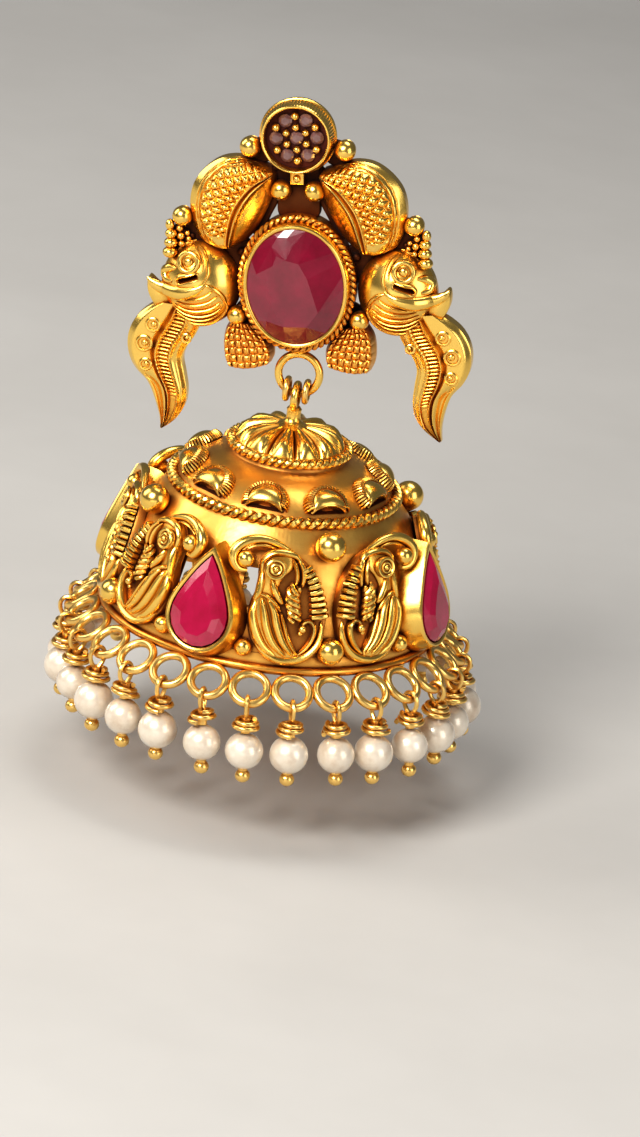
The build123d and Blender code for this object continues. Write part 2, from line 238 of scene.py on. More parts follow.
def rope(b, p, r, off, twists, up, strands=2, sides=8):
    """Closed rope of twisted wires along the closed line p."""
    p = np.asarray(p, float)
    side, top = line_frames(p, True, up)
    s = np.linspace(0, 2 * math.pi * twists, len(p), endpoint=False)
    for k in range(strands):
        a = s + 2 * math.pi * k / strands
        q = p + side * (off * np.cos(a))[:, None] + top * (off * np.sin(a))[:, None]
        tube(b, q, r, n=sides, closed=True)


def fill(b, loop, flip=False):
    """Flat cap over a closed loop of points."""
    tris = tessellate_polygon([[Vector(q) for q in loop]])
    b.add(loop, t=[t[::-1] if flip else t for t in tris])


def plate(b, pts, w0, w1, edge=0.15, n=90, top=0.0, rounded=True, behind=None):
    """Plate with this outline from depth w0 to w1, its front edge eased; top swells its middle.
    Its back face goes into the build behind, where one is given."""
    o = smooth_line(pts, n, closed=True) if rounded else np.asarray(pts, float)
    n = len(o)
    mid = o.mean(0)
    span = np.linalg.norm(o - mid, axis=1).mean()
    rings = []
    for k, w in ((1.0, w0), (1.0, w1 - edge), (1 - 0.3 * edge / span, w1 - edge * 0.3), (1 - edge / span, w1)):
        rings.append(np.column_stack([mid + (o - mid) * k, np.full(n, w)]))
    if top > 0:
        for k in (0.75, 0.5, 0.25, 0.02):
            rings.append(np.column_stack([mid + (o - mid) * k * (1 - edge / span), np.full(n, w1 + top * (1 - k ** 2))]))
    P = np.stack(rings)
    sheet_of(b, P, wv=True)
    fill(behind or b, rings[0], flip=True)
    fill(b, rings[-1])


def ribbon(b, A, B, H, nu, nv, w0):
    """Relief between two edge lines: H(u, v, s, r) is its height, s and r lengths along and across."""
    A, B = smooth_line(A, nu), smooth_line(B, nu)
    v = np.linspace(0, 1, nv)
    P = (1 - v)[None, :, None] * A[:, None] + v[None, :, None] * B[:, None]
    mid = (A + B) / 2
    s = np.concatenate([[0], np.cumsum(np.linalg.norm(np.diff(mid, axis=0), axis=1))])
    wide = np.linalg.norm(B - A, axis=1)
    u = np.linspace(0, 1, nu)
    w = H(u[:, None], v[None, :], s[:, None], wide[:, None] * v[None, :], wide[:, None])
    F = np.dstack([P, np.broadcast_to(w, P.shape[:2])])
    sheet_of(b, F)
    loop = np.vstack([F[:, 0], F[-1, 1:], F[::-1, -1][1:], F[0, ::-1][1:-1]])
    low = loop.copy()
    low[:, 2] = w0
    sheet_of(b, np.stack([loop, low]), wv=True)
    step = max(1, len(low) // 120)
    fill(b, low[::step], flip=True)


def turned(b, prof, n=96, wave=None, centre=(0, 0)):
    """Surface turned about Z from (radius, height) pairs; wave(phi, i) changes each."""
    prof = np.asarray(prof, float)
    phi = np.arange(n) * 2 * math.pi / n
    P = np.zeros((len(prof), n, 3))
    for i, (r, z) in enumerate(prof):
        dr, dz = wave(phi, i) if wave else (0, 0)
        P[i, :, 0] = centre[0] + (r + dr) * np.cos(phi)
        P[i, :, 1] = centre[1] + (r + dr) * np.sin(phi)
        P[i, :, 2] = z + dz
    sheet_of(b, P, wv=True)


def hull(b, pts):
    """Flat-faced solid round a set of points."""
    bm = bmesh.new()
    for p in pts:
        bm.verts.new(p)
    bmesh.ops.convex_hull(bm, input=list(bm.verts))
    loose = [v for v in bm.verts if not v.link_faces]
    bmesh.ops.delete(bm, geom=loose, context="VERTS")
    bmesh.ops.triangulate(bm, faces=bm.faces)
    bm.verts.index_update()
    v = np.array([q.co[:] for q in bm.verts])
    t = np.array([[q.index for q in f.verts] for f in bm.faces])
    bm.free()
    b.add(v, t=t)


def bump(x):
    """1 at the middle of each whole step, 0 between."""
    return np.abs(np.sin(math.pi * x))


def step(x, a, b_):
    k = np.clip((x - a) / (b_ - a), 0, 1)
    return k * k * (3 - 2 * k)


# ------------------------------------------------------------- materials
def node_mat(name):
    m = bpy.data.materials.new(name)
    m.use_nodes = True
    nt = m.node_tree
    return m, nt, nt.nodes["Principled BSDF"]


def link(nt, a, b_):
    nt.links.new(a, b_)


def ramp(nt, source, stops):
    r = nt.nodes.new("ShaderNodeValToRGB")
    while len(r.color_ramp.elements) < len(stops):
        r.color_ramp.elements.new(0.5)
    for e, (at, col) in zip(r.color_ramp.elements, stops):
        e.position = at
        e.color = (*col, 1) if len(col) == 3 else (col[0],) * 3 + (1,)
    link(nt, source, r.inputs[0])
    return r


def noise(nt, scale, detail=4.0, rough=0.6):
    tc = nt.nodes.new("ShaderNodeTexCoord")
    nz = nt.nodes.new("ShaderNodeTexNoise")
    nz.inputs["Scale"].default_value = scale
    nz.inputs["Detail"].default_value = detail
    nz.inputs["Roughness"].default_value = rough
    link(nt, tc.outputs["Object"], nz.inputs["Vector"])
    return nz


def gold(name, high, mid, deep, rough_high=0.24, rough_low=0.44, reach=0.0015, bump_mm=0.016, dull=0.5):
    """Gold that is bright where open and goes to red-brown and near black where closed in: partly the real patina in
    its hollows, partly painted shade from ambient occlusion.
    """
    m, nt, bs = node_mat(name)
    bs.inputs["Metallic"].default_value = 1.0
    # ambient occlusion drives the colour: painted shade in recesses and under parts, partly the real red-brown patina
    ao = nt.nodes.new("ShaderNodeAmbientOcclusion")
    ao.samples = 8
    ao.inputs["Distance"].default_value = reach
    nz = noise(nt, 900.0)
    add = nt.nodes.new("ShaderNodeMath")
    add.operation = "MULTIPLY_ADD"
    add.inputs[1].default_value = 0.30
    link(nt, nz.outputs["Fac"], add.inputs[0])
    link(nt, ao.outputs["AO"], add.inputs[2])
    sub = nt.nodes.new("ShaderNodeMath")
    sub.operation = "SUBTRACT"
    sub.inputs[1].default_value = 0.15
    link(nt, add.outputs[0], sub.inputs[0])
    col = ramp(nt, sub.outputs[0], [(0.22, deep), (0.54, mid), (0.90, high)])
    link(nt, col.outputs["Color"], bs.inputs["Base Color"])
    rr = ramp(nt, sub.outputs[0], [(0.25, (rough_low,)), (0.85, (rough_high,))])
    link(nt, rr.outputs["Color"], bs.inputs["Roughness"])
    metal = ramp(nt, sub.outputs[0], [(0.08, (1.0 - dull,)), (0.40, (1.0,))])
    link(nt, metal.outputs["Color"], bs.inputs["Metallic"])
    nz2 = noise(nt, 1800.0, 3.0)
    nz3 = noise(nt, 420.0, 2.0)
    mix = nt.nodes.new("ShaderNodeMath")
    mix.operation = "MULTIPLY_ADD"
    mix.inputs[1].default_value = 2.2
    link(nt, nz3.outputs["Fac"], mix.inputs[0])
    link(nt, nz2.outputs["Fac"], mix.inputs[2])
    bp = nt.nodes.new("ShaderNodeBump")
    bp.inputs["Strength"].default_value = 0.35
    bp.inputs["Distance"].default_value = bump_mm * MM
    link(nt, mix.outputs[0], bp.inputs["Height"])
    link(nt, bp.outputs["Normal"], bs.inputs["Normal"])
    return m


def stone(name, deep, light, rough, coat=1.0, scale=260.0, weight=0.35):
    m, nt, bs = node_mat(name)
    nz = noise(nt, scale, 5.0, 0.65)
    col = ramp(nt, nz.outputs["Fac"], [(0.30, deep), (0.30 + weight, light)])
    link(nt, col.outputs["Color"], bs.inputs["Base Color"])
    bs.inputs["Roughness"].default_value = rough
    bs.inputs["Specular IOR Level"].default_value = 0.50
    bs.inputs["Coat Weight"].default_value = coat
    bs.inputs["Coat Roughness"].default_value = 0.05
    bs.inputs["IOR"].default_value = 1.76
    nz2 = noise(nt, 1400.0, 2.0)
    bp = nt.nodes.new("ShaderNodeBump")
    bp.inputs["Strength"].default_value = 0.10
    bp.inputs["Distance"].default_value = 0.004 * MM
    link(nt, nz2.outputs["Fac"], bp.inputs["Height"])
    link(nt, bp.outputs["Normal"], bs.inputs["Normal"])
    return m


GOLD = gold("gold_22k", (1.0, 0.67, 0.17), (0.88, 0.42, 0.06), (0.15, 0.030, 0.010))
GOLD_WARM = gold("gold_warm", (0.92, 0.46, 0.09), (0.56, 0.19, 0.03), (0.10, 0.020, 0.008),
                 rough_high=0.30, rough_low=0.48)
# darker copy of the gold for the bird figures' ground: painted shade for the shadowed openwork between the relief
GOLD_GROUND = gold("gold_ground_painted_shade", (0.62, 0.27, 0.06), (0.30, 0.105, 0.022), (0.06, 0.015, 0.008),
                   rough_high=0.38, rough_low=0.60, dull=0.6, bump_mm=0.04)
# near-black copy of the gold: painted shade for sheets and balls that stand in shadowed openings
GOLD_DARK = gold("gold_painted_shade", (0.17, 0.055, 0.018), (0.07, 0.022, 0.010), (0.022, 0.007, 0.005),
                 rough_high=0.45, rough_low=0.65, dull=0.8)
# darker copy of the gold, for the wall recessed behind the figures and the rim's dull band; on the wall the darkening
# is painted shade
GOLD_WALL = gold("gold_wall", (1.0, 0.60, 0.15), (0.66, 0.27, 0.045), (0.12, 0.026, 0.010),
                 rough_high=0.34, rough_low=0.56, reach=0.0018, dull=0.5, bump_mm=0.05)
# darker copy of the gold with a long occlusion reach: painted shade between the hoods, partly the shoulder's real
# red-brown residue
SHOULDER_GOLD = gold("gold_shoulder", (0.98, 0.56, 0.13), (0.62, 0.25, 0.05), (0.22, 0.052, 0.022),
                     rough_high=0.33, rough_low=0.58, reach=0.0034, dull=0.6, bump_mm=0.06)
RESIDUE = gold("well_patina", (0.20, 0.065, 0.04), (0.12, 0.035, 0.025), (0.05, 0.012, 0.010),
               rough_high=0.55, rough_low=0.75, dull=0.9)
WIRE = gold("gold_wire", (0.96, 0.64, 0.21), (0.82, 0.44, 0.10), (0.28, 0.10, 0.03),
            rough_high=0.28, rough_low=0.42, reach=0.0007)
RUBY = stone("ruby_crimson", (0.13, 0.0006, 0.013), (0.23, 0.0012, 0.026), 0.16, coat=0.15)
PINK = stone("ruby_pink", (0.30, 0.002, 0.030), (0.46, 0.004, 0.065), 0.16, coat=0.15)
SMOKY = stone("stone_smoky", (0.10, 0.035, 0.03), (0.21, 0.10, 0.09), 0.18, coat=0.4, scale=700.0)


def pearl_mat():
    m, nt, bs = node_mat("pearl_cream")
    nz = noise(nt, 520.0, 4.0)
    col = ramp(nt, nz.outputs["Fac"], [(0.28, (0.66, 0.53, 0.40)), (0.50, (0.82, 0.72, 0.59)),
                                   (0.72, (0.90, 0.82, 0.70))])
    link(nt, col.outputs["Color"], bs.inputs["Base Color"])
    bs.inputs["Roughness"].default_value = 0.34
    bs.inputs["Metallic"].default_value = 0.30
    bs.inputs["Subsurface Weight"].default_value = 0.04
    bs.inputs["Subsurface Radius"].default_value = (0.0006, 0.0004, 0.0003)
    bs.inputs["Specular IOR Level"].default_value = 0.8
    bs.inputs["Coat Weight"].default_value = 1.0
    bs.inputs["Coat Roughness"].default_value = 0.07
    nz2 = noise(nt, 620.0, 2.0)
    bp = nt.nodes.new("ShaderNodeBump")
    bp.inputs["Strength"].default_value = 0.35
    bp.inputs["Distance"].default_value = 0.05 * MM
    link(nt, nz2.outputs["Fac"], bp.inputs["Height"])
    link(nt, bp.outputs["Normal"], bs.inputs["Normal"])
    return m


PEARL = pearl_mat()

# ------------------------------------------------------------- the crown
CT, ST = math.cos(TURN), math.sin(TURN)


def on_crown(v):
    """(x, z, depth) of the upright crown to the row frame."""
    x, z, w = v[:, 0], v[:, 1], v[:, 2]
    return np.column_stack([x * CT - z * ST, -w, x * ST + z * CT])


def mirrored(v):
    return v * np.array([-1.0, 1.0, 1.0])


half = Build()      # the right half of the crown's ornament, x z depth
tails = Build()     # its hanging tail
birds = Build()     # its bird's body, feathers and crest
# the webs behind are coloured near-black, as painted shade for the openings; their back faces stay gold
back = Build()      # its flat webs behind
back_face = Build()     # and their plain back faces

# paisley: outer grooved band, granulated middle, double ridge, plain inner wall
PAIS_A = [(1.85, 9.55), (1.98, 8.40), (2.42, 7.05), (3.08, 5.60), (3.78, 4.36), (4.42, 3.60), (5.12, 3.06)]
PAIS_B = [(2.30, 10.10), (3.75, 10.60), (5.10, 10.95), (6.60, 10.75), (7.95, 9.90), (9.00, 8.60), (9.42, 7.05),
          (9.34, 5.50), (8.98, 4.20), (8.35, 3.26), (7.52, 2.80)]


def paisley(u, v, s, r, wide):
    k = np.sin(math.pi * np.clip(0.02 + 0.95 * u, 0, 1)) ** 0.30
    wall = 1.15 + 1.82 * np.clip(v / 0.30, 0, 1) ** 0.85
    crown_h = 2.95 + 0.30 * np.sin(math.pi * np.clip((v - 0.28) / 0.72, 0, 1))
    fall = 1 - 0.60 * np.clip((v - 0.55) / 0.45, 0, 1) ** 1.7
    w = np.minimum(wall, crown_h) * fall
    w = w + 0.34 * np.exp(-((v - 0.308) / 0.030) ** 2) + 0.26 * np.exp(-((v - 0.380) / 0.022) ** 2)
    w = w - 0.12 * np.exp(-((v - 0.346) / 0.014) ** 2)
    far = 0.90 - 0.12 * u
    inside = step(v, 0.405, 0.43) * (1 - step(v - far, -0.025, 0.0)) * step(u, 0.02, 0.06) * (1 - step(u, 0.82, 0.87))
    a, c = (s + 0.62 * r) / 0.86, (s - 0.95 * r) / 0.90
    scale = bump(a) ** 0.55 * bump(c) ** 0.55
    w = w + inside * (0.40 * scale - 0.22)
    groove = 0.18 * (np.exp(-((v - far - 0.012) / 0.013) ** 2) + 0.8 * np.exp(-((v - far - 0.065) / 0.013) ** 2))
    w = w - groove * step(u, 0.01, 0.06) * (1 - step(u, 0.96, 1.0))
    return 0.55 + (w - 0.55) * (0.30 + 0.70 * k)


ribbon(half, PAIS_A, PAIS_B, paisley, 230, 110, 0.12)

# tail: raised borders, ribbed channel, plain outer part
TAIL_A = [(9.10, -2.60), (8.75, -4.20), (9.20, -5.40), (9.85, -6.30), (10.30, -7.50), (10.12, -8.90),
          (9.95, -10.25), (10.05, -11.40), (10.45, -12.35), (11.10, -13.20), (11.80, -13.80), (12.20, -14.02)]
TAIL_B = [(12.10, -2.30), (13.20, -2.90), (14.20, -3.75), (14.86, -4.90), (15.10, -6.20), (14.90, -7.50),
          (14.34, -8.60), (13.36, -9.75), (12.78, -11.20), (12.46, -12.60), (12.40, -13.45), (12.42, -14.05)]


def tail(u, v, s, r, wide):
    end = 1 - 0.55 * step(u, 0.80, 1.0)
    w = 1.05 + 0.62 * step(v, 0.0, 0.14)
    w = w + 0.20 * np.exp(-((v - 0.215) / 0.028) ** 2) + 0.34 * np.exp(-((v - 0.475) / 0.032) ** 2)
    w = w - 0.10 * np.exp(-((v - 0.13) / 0.03) ** 2) - 0.16 * np.exp(-((v - 0.535) / 0.025) ** 2)
    chan = step(v, 0.225, 0.255) * (1 - step(v, 0.425, 0.455))
    fade = 1 - step(u, 0.58, 0.76)
    w = w - chan * 0.20 + chan * fade * 0.26 * bump(s / 0.36) ** 0.8
    scoop = step(u, 0.50, 0.68) * np.exp(-((v - 0.80) / 0.15) ** 2)
    w = w + step(v, 0.5, 0.6) * 0.16 - 0.62 * scoop - 0.60 * step(v, 0.88, 1.02)
    return 0.35 + (w - 0.35) * end


ribbon(tails, TAIL_A, TAIL_B, tail, 300, 72, 0.10)
for x, z, R, w in ((12.72, -4.35, 0.56, 1.80), (13.52, -6.05, 0.64, 1.82), (13.42, -7.95, 0.48, 1.80),
                   (9.84, -5.50, 0.36, 1.62)):
    ring(tails, (x, z, w), R, 0.15, (1, 0, 0), (0, 1, 0), 30, 9)
    ball(tails, (x - 0.08, z + 0.05, w), R * 0.50, 3, (1, 1, 0.8))

# fan: basket weave
FAN_A = [(3.95, -3.95), (2.95, -4.95), (2.38, -5.95), (2.28, -6.90), (2.60, -7.60)]
FAN_B = [(5.85, -3.60), (6.48, -4.65), (6.68, -5.90), (6.58, -7.10), (6.20, -7.95)]


def fan(u, v, s, r, wide):
    a, b_ = v * 7, u * 7
    cell = (np.floor(a) + np.floor(b_)) % 2
    along = bump(a) ** 0.7
    across = bump(b_) ** 0.7
    weave = np.where(cell > 0.5, along * (0.55 + 0.45 * across), across * (0.55 + 0.45 * along))
    body = 1.5 + 0.45 * np.sin(math.pi * v) ** 0.6 * (1 - 0.5 * step(u, 0.8, 1.02))
    edge = 1 - 0.55 * (step(v, 0.93, 1.01) + 1 - step(v, -0.01, 0.07)) - 0.4 * step(u, 0.94, 1.01)
    return (body + 0.26 * weave) * edge


fan_part = Build()
ribbon(fan_part, FAN_A, FAN_B, fan, 100, 84, 0.14)


def bellied(v):
    out = v.copy()
    k = np.clip((-v[:, 1] - 6.2) / 1.7, 0, 1)
    out[:, 1] -= 0.42 * k ** 2 * np.sin(math.pi * np.clip((v[:, 0] - 2.4) / 3.9, 0, 1))
    return out


# the round bird body
DX, DZ, DRX, DRZ = 8.60, -0.64, 3.46, 3.80
CAVITY = smooth_line([(8.72, 0.44), (9.22, 0.27), (9.72, 0.09), (10.14, -0.08)], 30)


def dome_h(x, z):
    rho = np.hypot((x - DX) / DRX, (z - DZ) / DRZ)
    return 0.9 + 2.2 * np.clip(1 - rho ** 2, 0, 1) ** 0.72


rr, ff = np.meshgrid(np.linspace(0, 1, 64) ** 0.8, np.arange(150) * 2 * math.pi / 150, indexing="ij")
gx, gz = DX + DRX * rr * np.cos(ff), DZ + DRZ * rr * np.sin(ff)
cut = np.min([np.hypot(gx - p[0], gz - p[1]) for p in CAVITY], axis=0)
gw = dome_h(gx, gz) - 0.85 * np.exp(-(cut / 0.13) ** 2)
body = np.dstack([gx, gz, gw])
sheet_of(birds, body, wv=True)
rimloop = body[-1].copy()
lowloop = rimloop.copy()
lowloop[:, 2] = 0.16
sheet_of(birds, np.stack([rimloop, lowloop]), wv=True)
fill(birds, lowloop, flip=True)

EX, EZ = 9.36, 1.62
EH = float(dome_h(np.array(EX), np.array(EZ)))
TILT = unit(np.array([0.18, 0.22, 1.0]))
E1 = unit(np.array([1.0, 0.0, -0.18]))
E2 = np.cross(TILT, E1)
eye_at = np.array([EX, EZ, EH])
ball(birds, eye_at - TILT * 0.34, 0.98, 4, (1, 1, 0.45))
ring(birds, eye_at + TILT * 0.13, 0.84, 0.24, E1, E2, 44, 14)
ball(birds, eye_at + TILT * 0.02, 0.44, 4, (1, 1, 0.72))
ridge(birds, [(8.72, 2.98), (8.10, 2.50), (7.72, 1.60), (7.62, 0.75), (7.98, 0.00), (8.45, -0.35)], 0.02, 0.15, 0.22,
      surf=dome_h)
ridge(birds, [(8.98, 2.92), (8.42, 2.30), (8.14, 1.62), (8.12, 0.95)], 0.02, 0.11, 0.16, surf=dome_h)
# hooked beak over its cavity, cheek
ridge(birds, [(8.42, 0.86), (8.98, 0.70), (9.60, 0.53), (10.18, 0.38), (10.48, 0.00), (10.36, -0.52)], 0.0, 0.20, 0.34,
      surf=dome_h, widths=[0.15, 0.7, 1.0, 0.95, 0.7, 0.2])
ridge(birds, [(10.50, 0.98), (11.15, 0.88), (11.62, 0.45), (11.45, -0.10), (10.85, -0.22)], -0.12, 0.42, 0.46, surf=dome_h,
      widths=[0.4, 1.0, 1.1, 0.9, 0.4])
# bright lock above the eye
ridge(birds, [(8.95, 3.20), (9.45, 3.02), (10.10, 2.72), (10.60, 2.25)], -0.02, 0.28, 0.28, surf=dome_h,
      widths=[0.25, 1.0, 0.8, 0.3])
# thick top feather that runs out to the upturned tip
top_line = smooth_line([(7.80, -0.05), (8.50, -0.62), (9.70, -1.05), (11.10, -1.12), (12.20, -0.88), (12.90, -0.46),
                        (13.22, -0.12)], 60)
sk = np.interp(np.linspace(0, 1, 60), [0, 0.2, 0.45, 0.7, 0.9, 1], [0.10, 0.44, 0.64, 0.62, 0.36, 0.08])
th = np.maximum(dome_h(top_line[:, 0], top_line[:, 1]), 1.60) - 0.02
tube(birds, np.column_stack([top_line, th]), sk, sk * 0.72, n=18, up=UPW)
plate(birds, [(11.0, -1.3), (12.3, -0.8), (13.1, -0.15), (13.30, -0.9), (13.10, -1.9), (12.45, -2.85), (11.5, -3.0)],
      0.22, 1.5, 0.3, top=0.15)
# feathers of the lower part
FEATHERS = [
    dict(hw=0.13, h=0.22, pts=[(7.35, -0.95), (8.00, -1.30), (8.90, -1.55), (9.80, -1.72)]),
    dict(hw=0.14, h=0.24, pts=[(6.95, -1.32), (7.70, -1.75), (8.70, -1.98), (9.80, -2.02), (10.60, -1.88)]),
    dict(hw=0.15, h=0.25, pts=[(6.72, -1.78), (7.50, -2.24), (8.60, -2.46), (9.80, -2.42), (10.80, -2.12)]),
    dict(hw=0.15, h=0.25, pts=[(6.70, -2.28), (7.50, -2.72), (8.60, -2.93), (9.80, -2.82), (10.90, -2.38)]),
    dict(hw=0.15, h=0.25, pts=[(7.05, -2.82), (7.80, -3.16), (8.80, -3.30), (9.80, -3.16), (10.75, -2.72)]),
    dict(hw=0.22, h=0.30, pts=[(6.30, -1.75), (6.32, -2.45), (7.02, -3.15), (8.00, -3.58), (9.20, -3.66),
                               (10.40, -3.28), (11.30, -2.55)]),
    dict(hw=0.20, h=0.28, pts=[(7.95, -0.45), (7.20, -0.75), (6.55, -1.35), (6.25, -2.10)]),
]
for f in FEATHERS:
    f["pts"] = [(x - 0.10, -0.80 + (z + 0.95) * 1.24) for x, z in f["pts"]]
    ridge(birds, f["pts"], 0.02, f["hw"], f["h"], surf=dome_h, n=50)

# crest: a tapering stack of beads with granules beside it
# its backing plate is in the near-black painted shade of the webs
plate(back, [(9.5, 3.4), (9.9, 4.1), (10.6, 4.5), (11.0, 4.3), (11.12, 3.4), (11.15, 2.2), (10.6, 2.2)], 0.08, 1.1, 0.2,
      behind=back_face)
CREST = [dict(x=11.20, z=4.62, w=1.34, r=0.40, tall=1.30), dict(x=11.10, z=3.86, w=1.45, r=0.52, tall=0.86),
         dict(x=11.10, z=3.08, w=1.55, r=0.60, tall=0.80), dict(x=11.16, z=2.26, w=1.66, r=0.66, tall=0.76)]
for c in CREST:
    ball(birds, (c["x"], c["z"], c["w"]), c["r"], 3, (1, c["tall"], 1))
for x, z, w, r in ((10.38, 4.30, 1.20, 0.33), (10.28, 3.62, 1.28, 0.36), (10.20, 2.98, 1.45, 0.30), (9.72, 3.86, 1.12, 0.26),
                   (9.60, 3.36, 1.20, 0.26)):
    ball(birds, (x, z, w), r, 2)

# balls that join the parts
CROWN_BALLS = [dict(x=4.12, z=11.87, y=1.20, r=0.93), dict(x=1.46, z=8.17, y=1.35, r=0.92),
               dict(x=10.13, z=5.40, y=1.20, r=0.88), dict(x=5.35, z=-3.20, y=1.55, r=0.87)]
for c in CROWN_BALLS:
    ball(half, (c["x"], c["z"], c["y"]), c["r"], 4)
    ring(half, (c["x"], c["z"], c["y"] - c["r"] * 0.8), c["r"] * 0.72, 0.14, (1, 0, 0), (0, 1, 0), 28, 8)

# flat webs and small balls behind the ornament, in near-black painted shade
WEBS = [
    [(2.0, 9.6), (4.6, 10.6), (5.2, 6.5), (4.4, 4.4), (3.4, 3.6), (2.6, 5.4), (1.6, 7.6)],
    [(4.2, 3.0), (6.4, 3.9), (7.2, 2.0), (6.0, 0.2), (4.4, 0.2)],
    [(3.1, -3.3), (4.3, -1.9), (5.6, -2.6), (5.7, -4.0), (4.6, -5.0), (2.9, -5.2)],
    [(2.3, 12.5), (4.0, 12.3), (4.55, 11.6), (4.1, 10.3), (2.5, 10.6)],
    [(8.5, 6.1), (9.8, 5.6), (10.6, 4.8), (10.9, 3.2), (10.5, 1.8), (8.9, 2.2), (8.0, 4.4)],
]
for i, web in enumerate(WEBS):
    plate(back, web, 0.012 * i, 0.72, 0.15, 40, behind=back_face)
for x, z, r in ((5.0, 2.3, 0.42), (7.9, 3.15, 0.34), (2.05, 9.9, 0.34), (9.35, 3.55, 0.30)):
    ball(back, (x, z, 0.75), r, 2)

crown = Build()
crown_birds = Build()
crown_tails = Build()
crown_warm = Build()
crown_back = Build()
crown_sheet = Build()
for flip in (False, True):
    side = (lambda v: on_crown(mirrored(v))) if flip else on_crown
    crown.put(half, side, flip)
    crown_birds.put(birds, side, flip)
    crown_tails.put(tails, side, flip)
    crown_warm.put(fan_part, (lambda v, s=side: s(bellied(v))), flip)
    crown_back.put(back, side, flip)
    crown_sheet.put(back_face, side, flip)

mid = Build()      # what stands on the crown's middle line
# top disc: milled side, flat rim, well
DISC_Z = 12.95
milled = Build()
prof = [(0.01, 0.18), (1.60, 0.18), (3.18, 0.18), (3.24, 0.24), (3.27, 0.55), (3.27, 0.80), (3.24, 1.05), (3.18, 1.45),
        (3.12, 1.85), (3.06, 2.20), (3.02, 2.34), (2.95, 2.42), (2.87, 2.43), (2.79, 2.38), (2.75, 2.28), (2.72, 1.62)]


def mill(phi, i):
    if 5 <= i <= 9:
        return 0.045 * (np.abs(np.sin(phi * 36)) - 0.5), 0
    return 0, 0


turned(milled, prof, n=432, wave=mill)
ring(milled, (0, 0, 0.93), 3.25, 0.13, (1, 0, 0), (0, 1, 0), 90, 8)
mid.put(milled, lambda v: np.column_stack([v[:, 0], v[:, 1] + DISC_Z, v[:, 2]]))
well = Build()
turned(well, [(2.77, 1.55), (1.4, 1.55), (0.01, 1.55)], n=72)
well_field = Build()
well_field.put(well, lambda v: on_crown(np.column_stack([v[:, 0], v[:, 1] + DISC_Z, v[:, 2]])))
well_field.make("disc_well", RESIDUE, "crown")
STONE_ANGLE, STONE_RING = 3.0, 1.78
for k in range(6):
    for radius, turn_by, r in ((0.98, 33.0, 0.33), (1.98, 33.0, 0.36)):
        a = math.radians(60 * k + turn_by)
        ball(mid, (radius * math.cos(a), DISC_Z + radius * math.sin(a), 1.86), r, 3, (1, 1, 1.2))
# oval setting: wall, thin bright rim, rope
ROPE_A, ROPE_B = 4.82, 5.82
th = np.arange(160) * 2 * math.pi / 160


def oval_ring(a, b_, w):
    return np.column_stack([a * np.cos(th), b_ * np.sin(th), np.full(160, w)])


OA, OB, RIM_W = 4.20, 5.13, 3.00
sheet_of(mid, np.stack([oval_ring(OA + 0.60, OB + 0.60, 1.5),
                        oval_ring(OA + 0.52, OB + 0.52, 2.2), oval_ring(OA + 0.45, OB + 0.45, RIM_W - 0.26),
                        oval_ring(OA + 0.38, OB + 0.38, RIM_W - 0.06), oval_ring(OA + 0.26, OB + 0.26, RIM_W + 0.03),
                        oval_ring(OA + 0.13, OB + 0.13, RIM_W + 0.02), oval_ring(OA + 0.04, OB + 0.04, RIM_W - 0.05),
                        oval_ring(OA, OB, RIM_W - 0.22), oval_ring(OA, OB, 1.3)]), wv=True)
fill(mid, oval_ring(OA, OB, 1.32))
fill(mid, oval_ring(ROPE_A + 0.25, ROPE_B + 0.25, 0.20), flip=True)
sheet_of(mid, np.stack([oval_ring(ROPE_A + 0.25, ROPE_B + 0.25, 0.20), oval_ring(ROPE_A + 0.22, ROPE_B + 0.22, 1.55),
                        oval_ring(OA + 0.55, OB + 0.55, 1.80)]), wv=True)
th720 = np.arange(700) * 2 * math.pi / 700
loop = np.column_stack([ROPE_A * np.cos(th720), ROPE_B * np.sin(th720), np.full(700, 1.90)])
gap = np.concatenate([[0], np.cumsum(np.linalg.norm(np.diff(np.vstack([loop, loop[:1]]), axis=0), axis=1))])
even = np.linspace(0, gap[-1], 700, endpoint=False)
loop = np.column_stack([np.interp(even, gap, np.append(loop[:, k], loop[0, k])) for k in range(3)])
warm = Build()
rope(warm, loop, 0.205, 0.185, 29, UPW)
crown_warm.put(warm, on_crown)
crown_warm.make("crown_rope_and_fans", GOLD_WARM, "crown")
# neck under the disc: small square collet
plate(mid, [(-0.62, 9.95), (0.62, 9.95), (0.62, 8.75), (-0.62, 8.75)], 0.5, 1.75, 0.25, rounded=False)
ball(mid, (0, 9.33, 1.75), 0.34, 3)
# the web behind the neck, in near-black painted shade, with a gold back face
neck, neck_face = Build(), Build()
plate(neck, [(-1.7, 10.4), (1.7, 10.4), (2.1, 8.8), (1.9, 7.2), (1.5, 5.6), (-1.5, 5.6), (-1.9, 7.2), (-2.1, 8.8)], 0.09, 0.88, 0.15, 60,
      behind=neck_face)
crown_back.put(neck, on_crown)
crown_sheet.put(neck_face, on_crown)
# hanging ring
ring(mid, (0, -8.35, 1.2), HANG_R, 0.35, (1, 0, 0), (0, 1, 0), 72, 18)
ball(mid, (0, -6.08, 1.20), 0.55, 3, (1.5, 0.95, 0.95))
crown.put(mid, on_crown)
crown.make("crown_metal", GOLD, "crown", nodes=("crown_frame",))
crown_birds.make("crown_birds", GOLD, "crown")
crown_tails.make("crown_tails", GOLD, "crown")
# the webs, the crest and neck backings and their balls, in near-black painted shade
crown_back.make("crown_webs_painted_shade", GOLD_DARK, "crown")
crown_sheet.make("crown_back_face", GOLD, "crown")

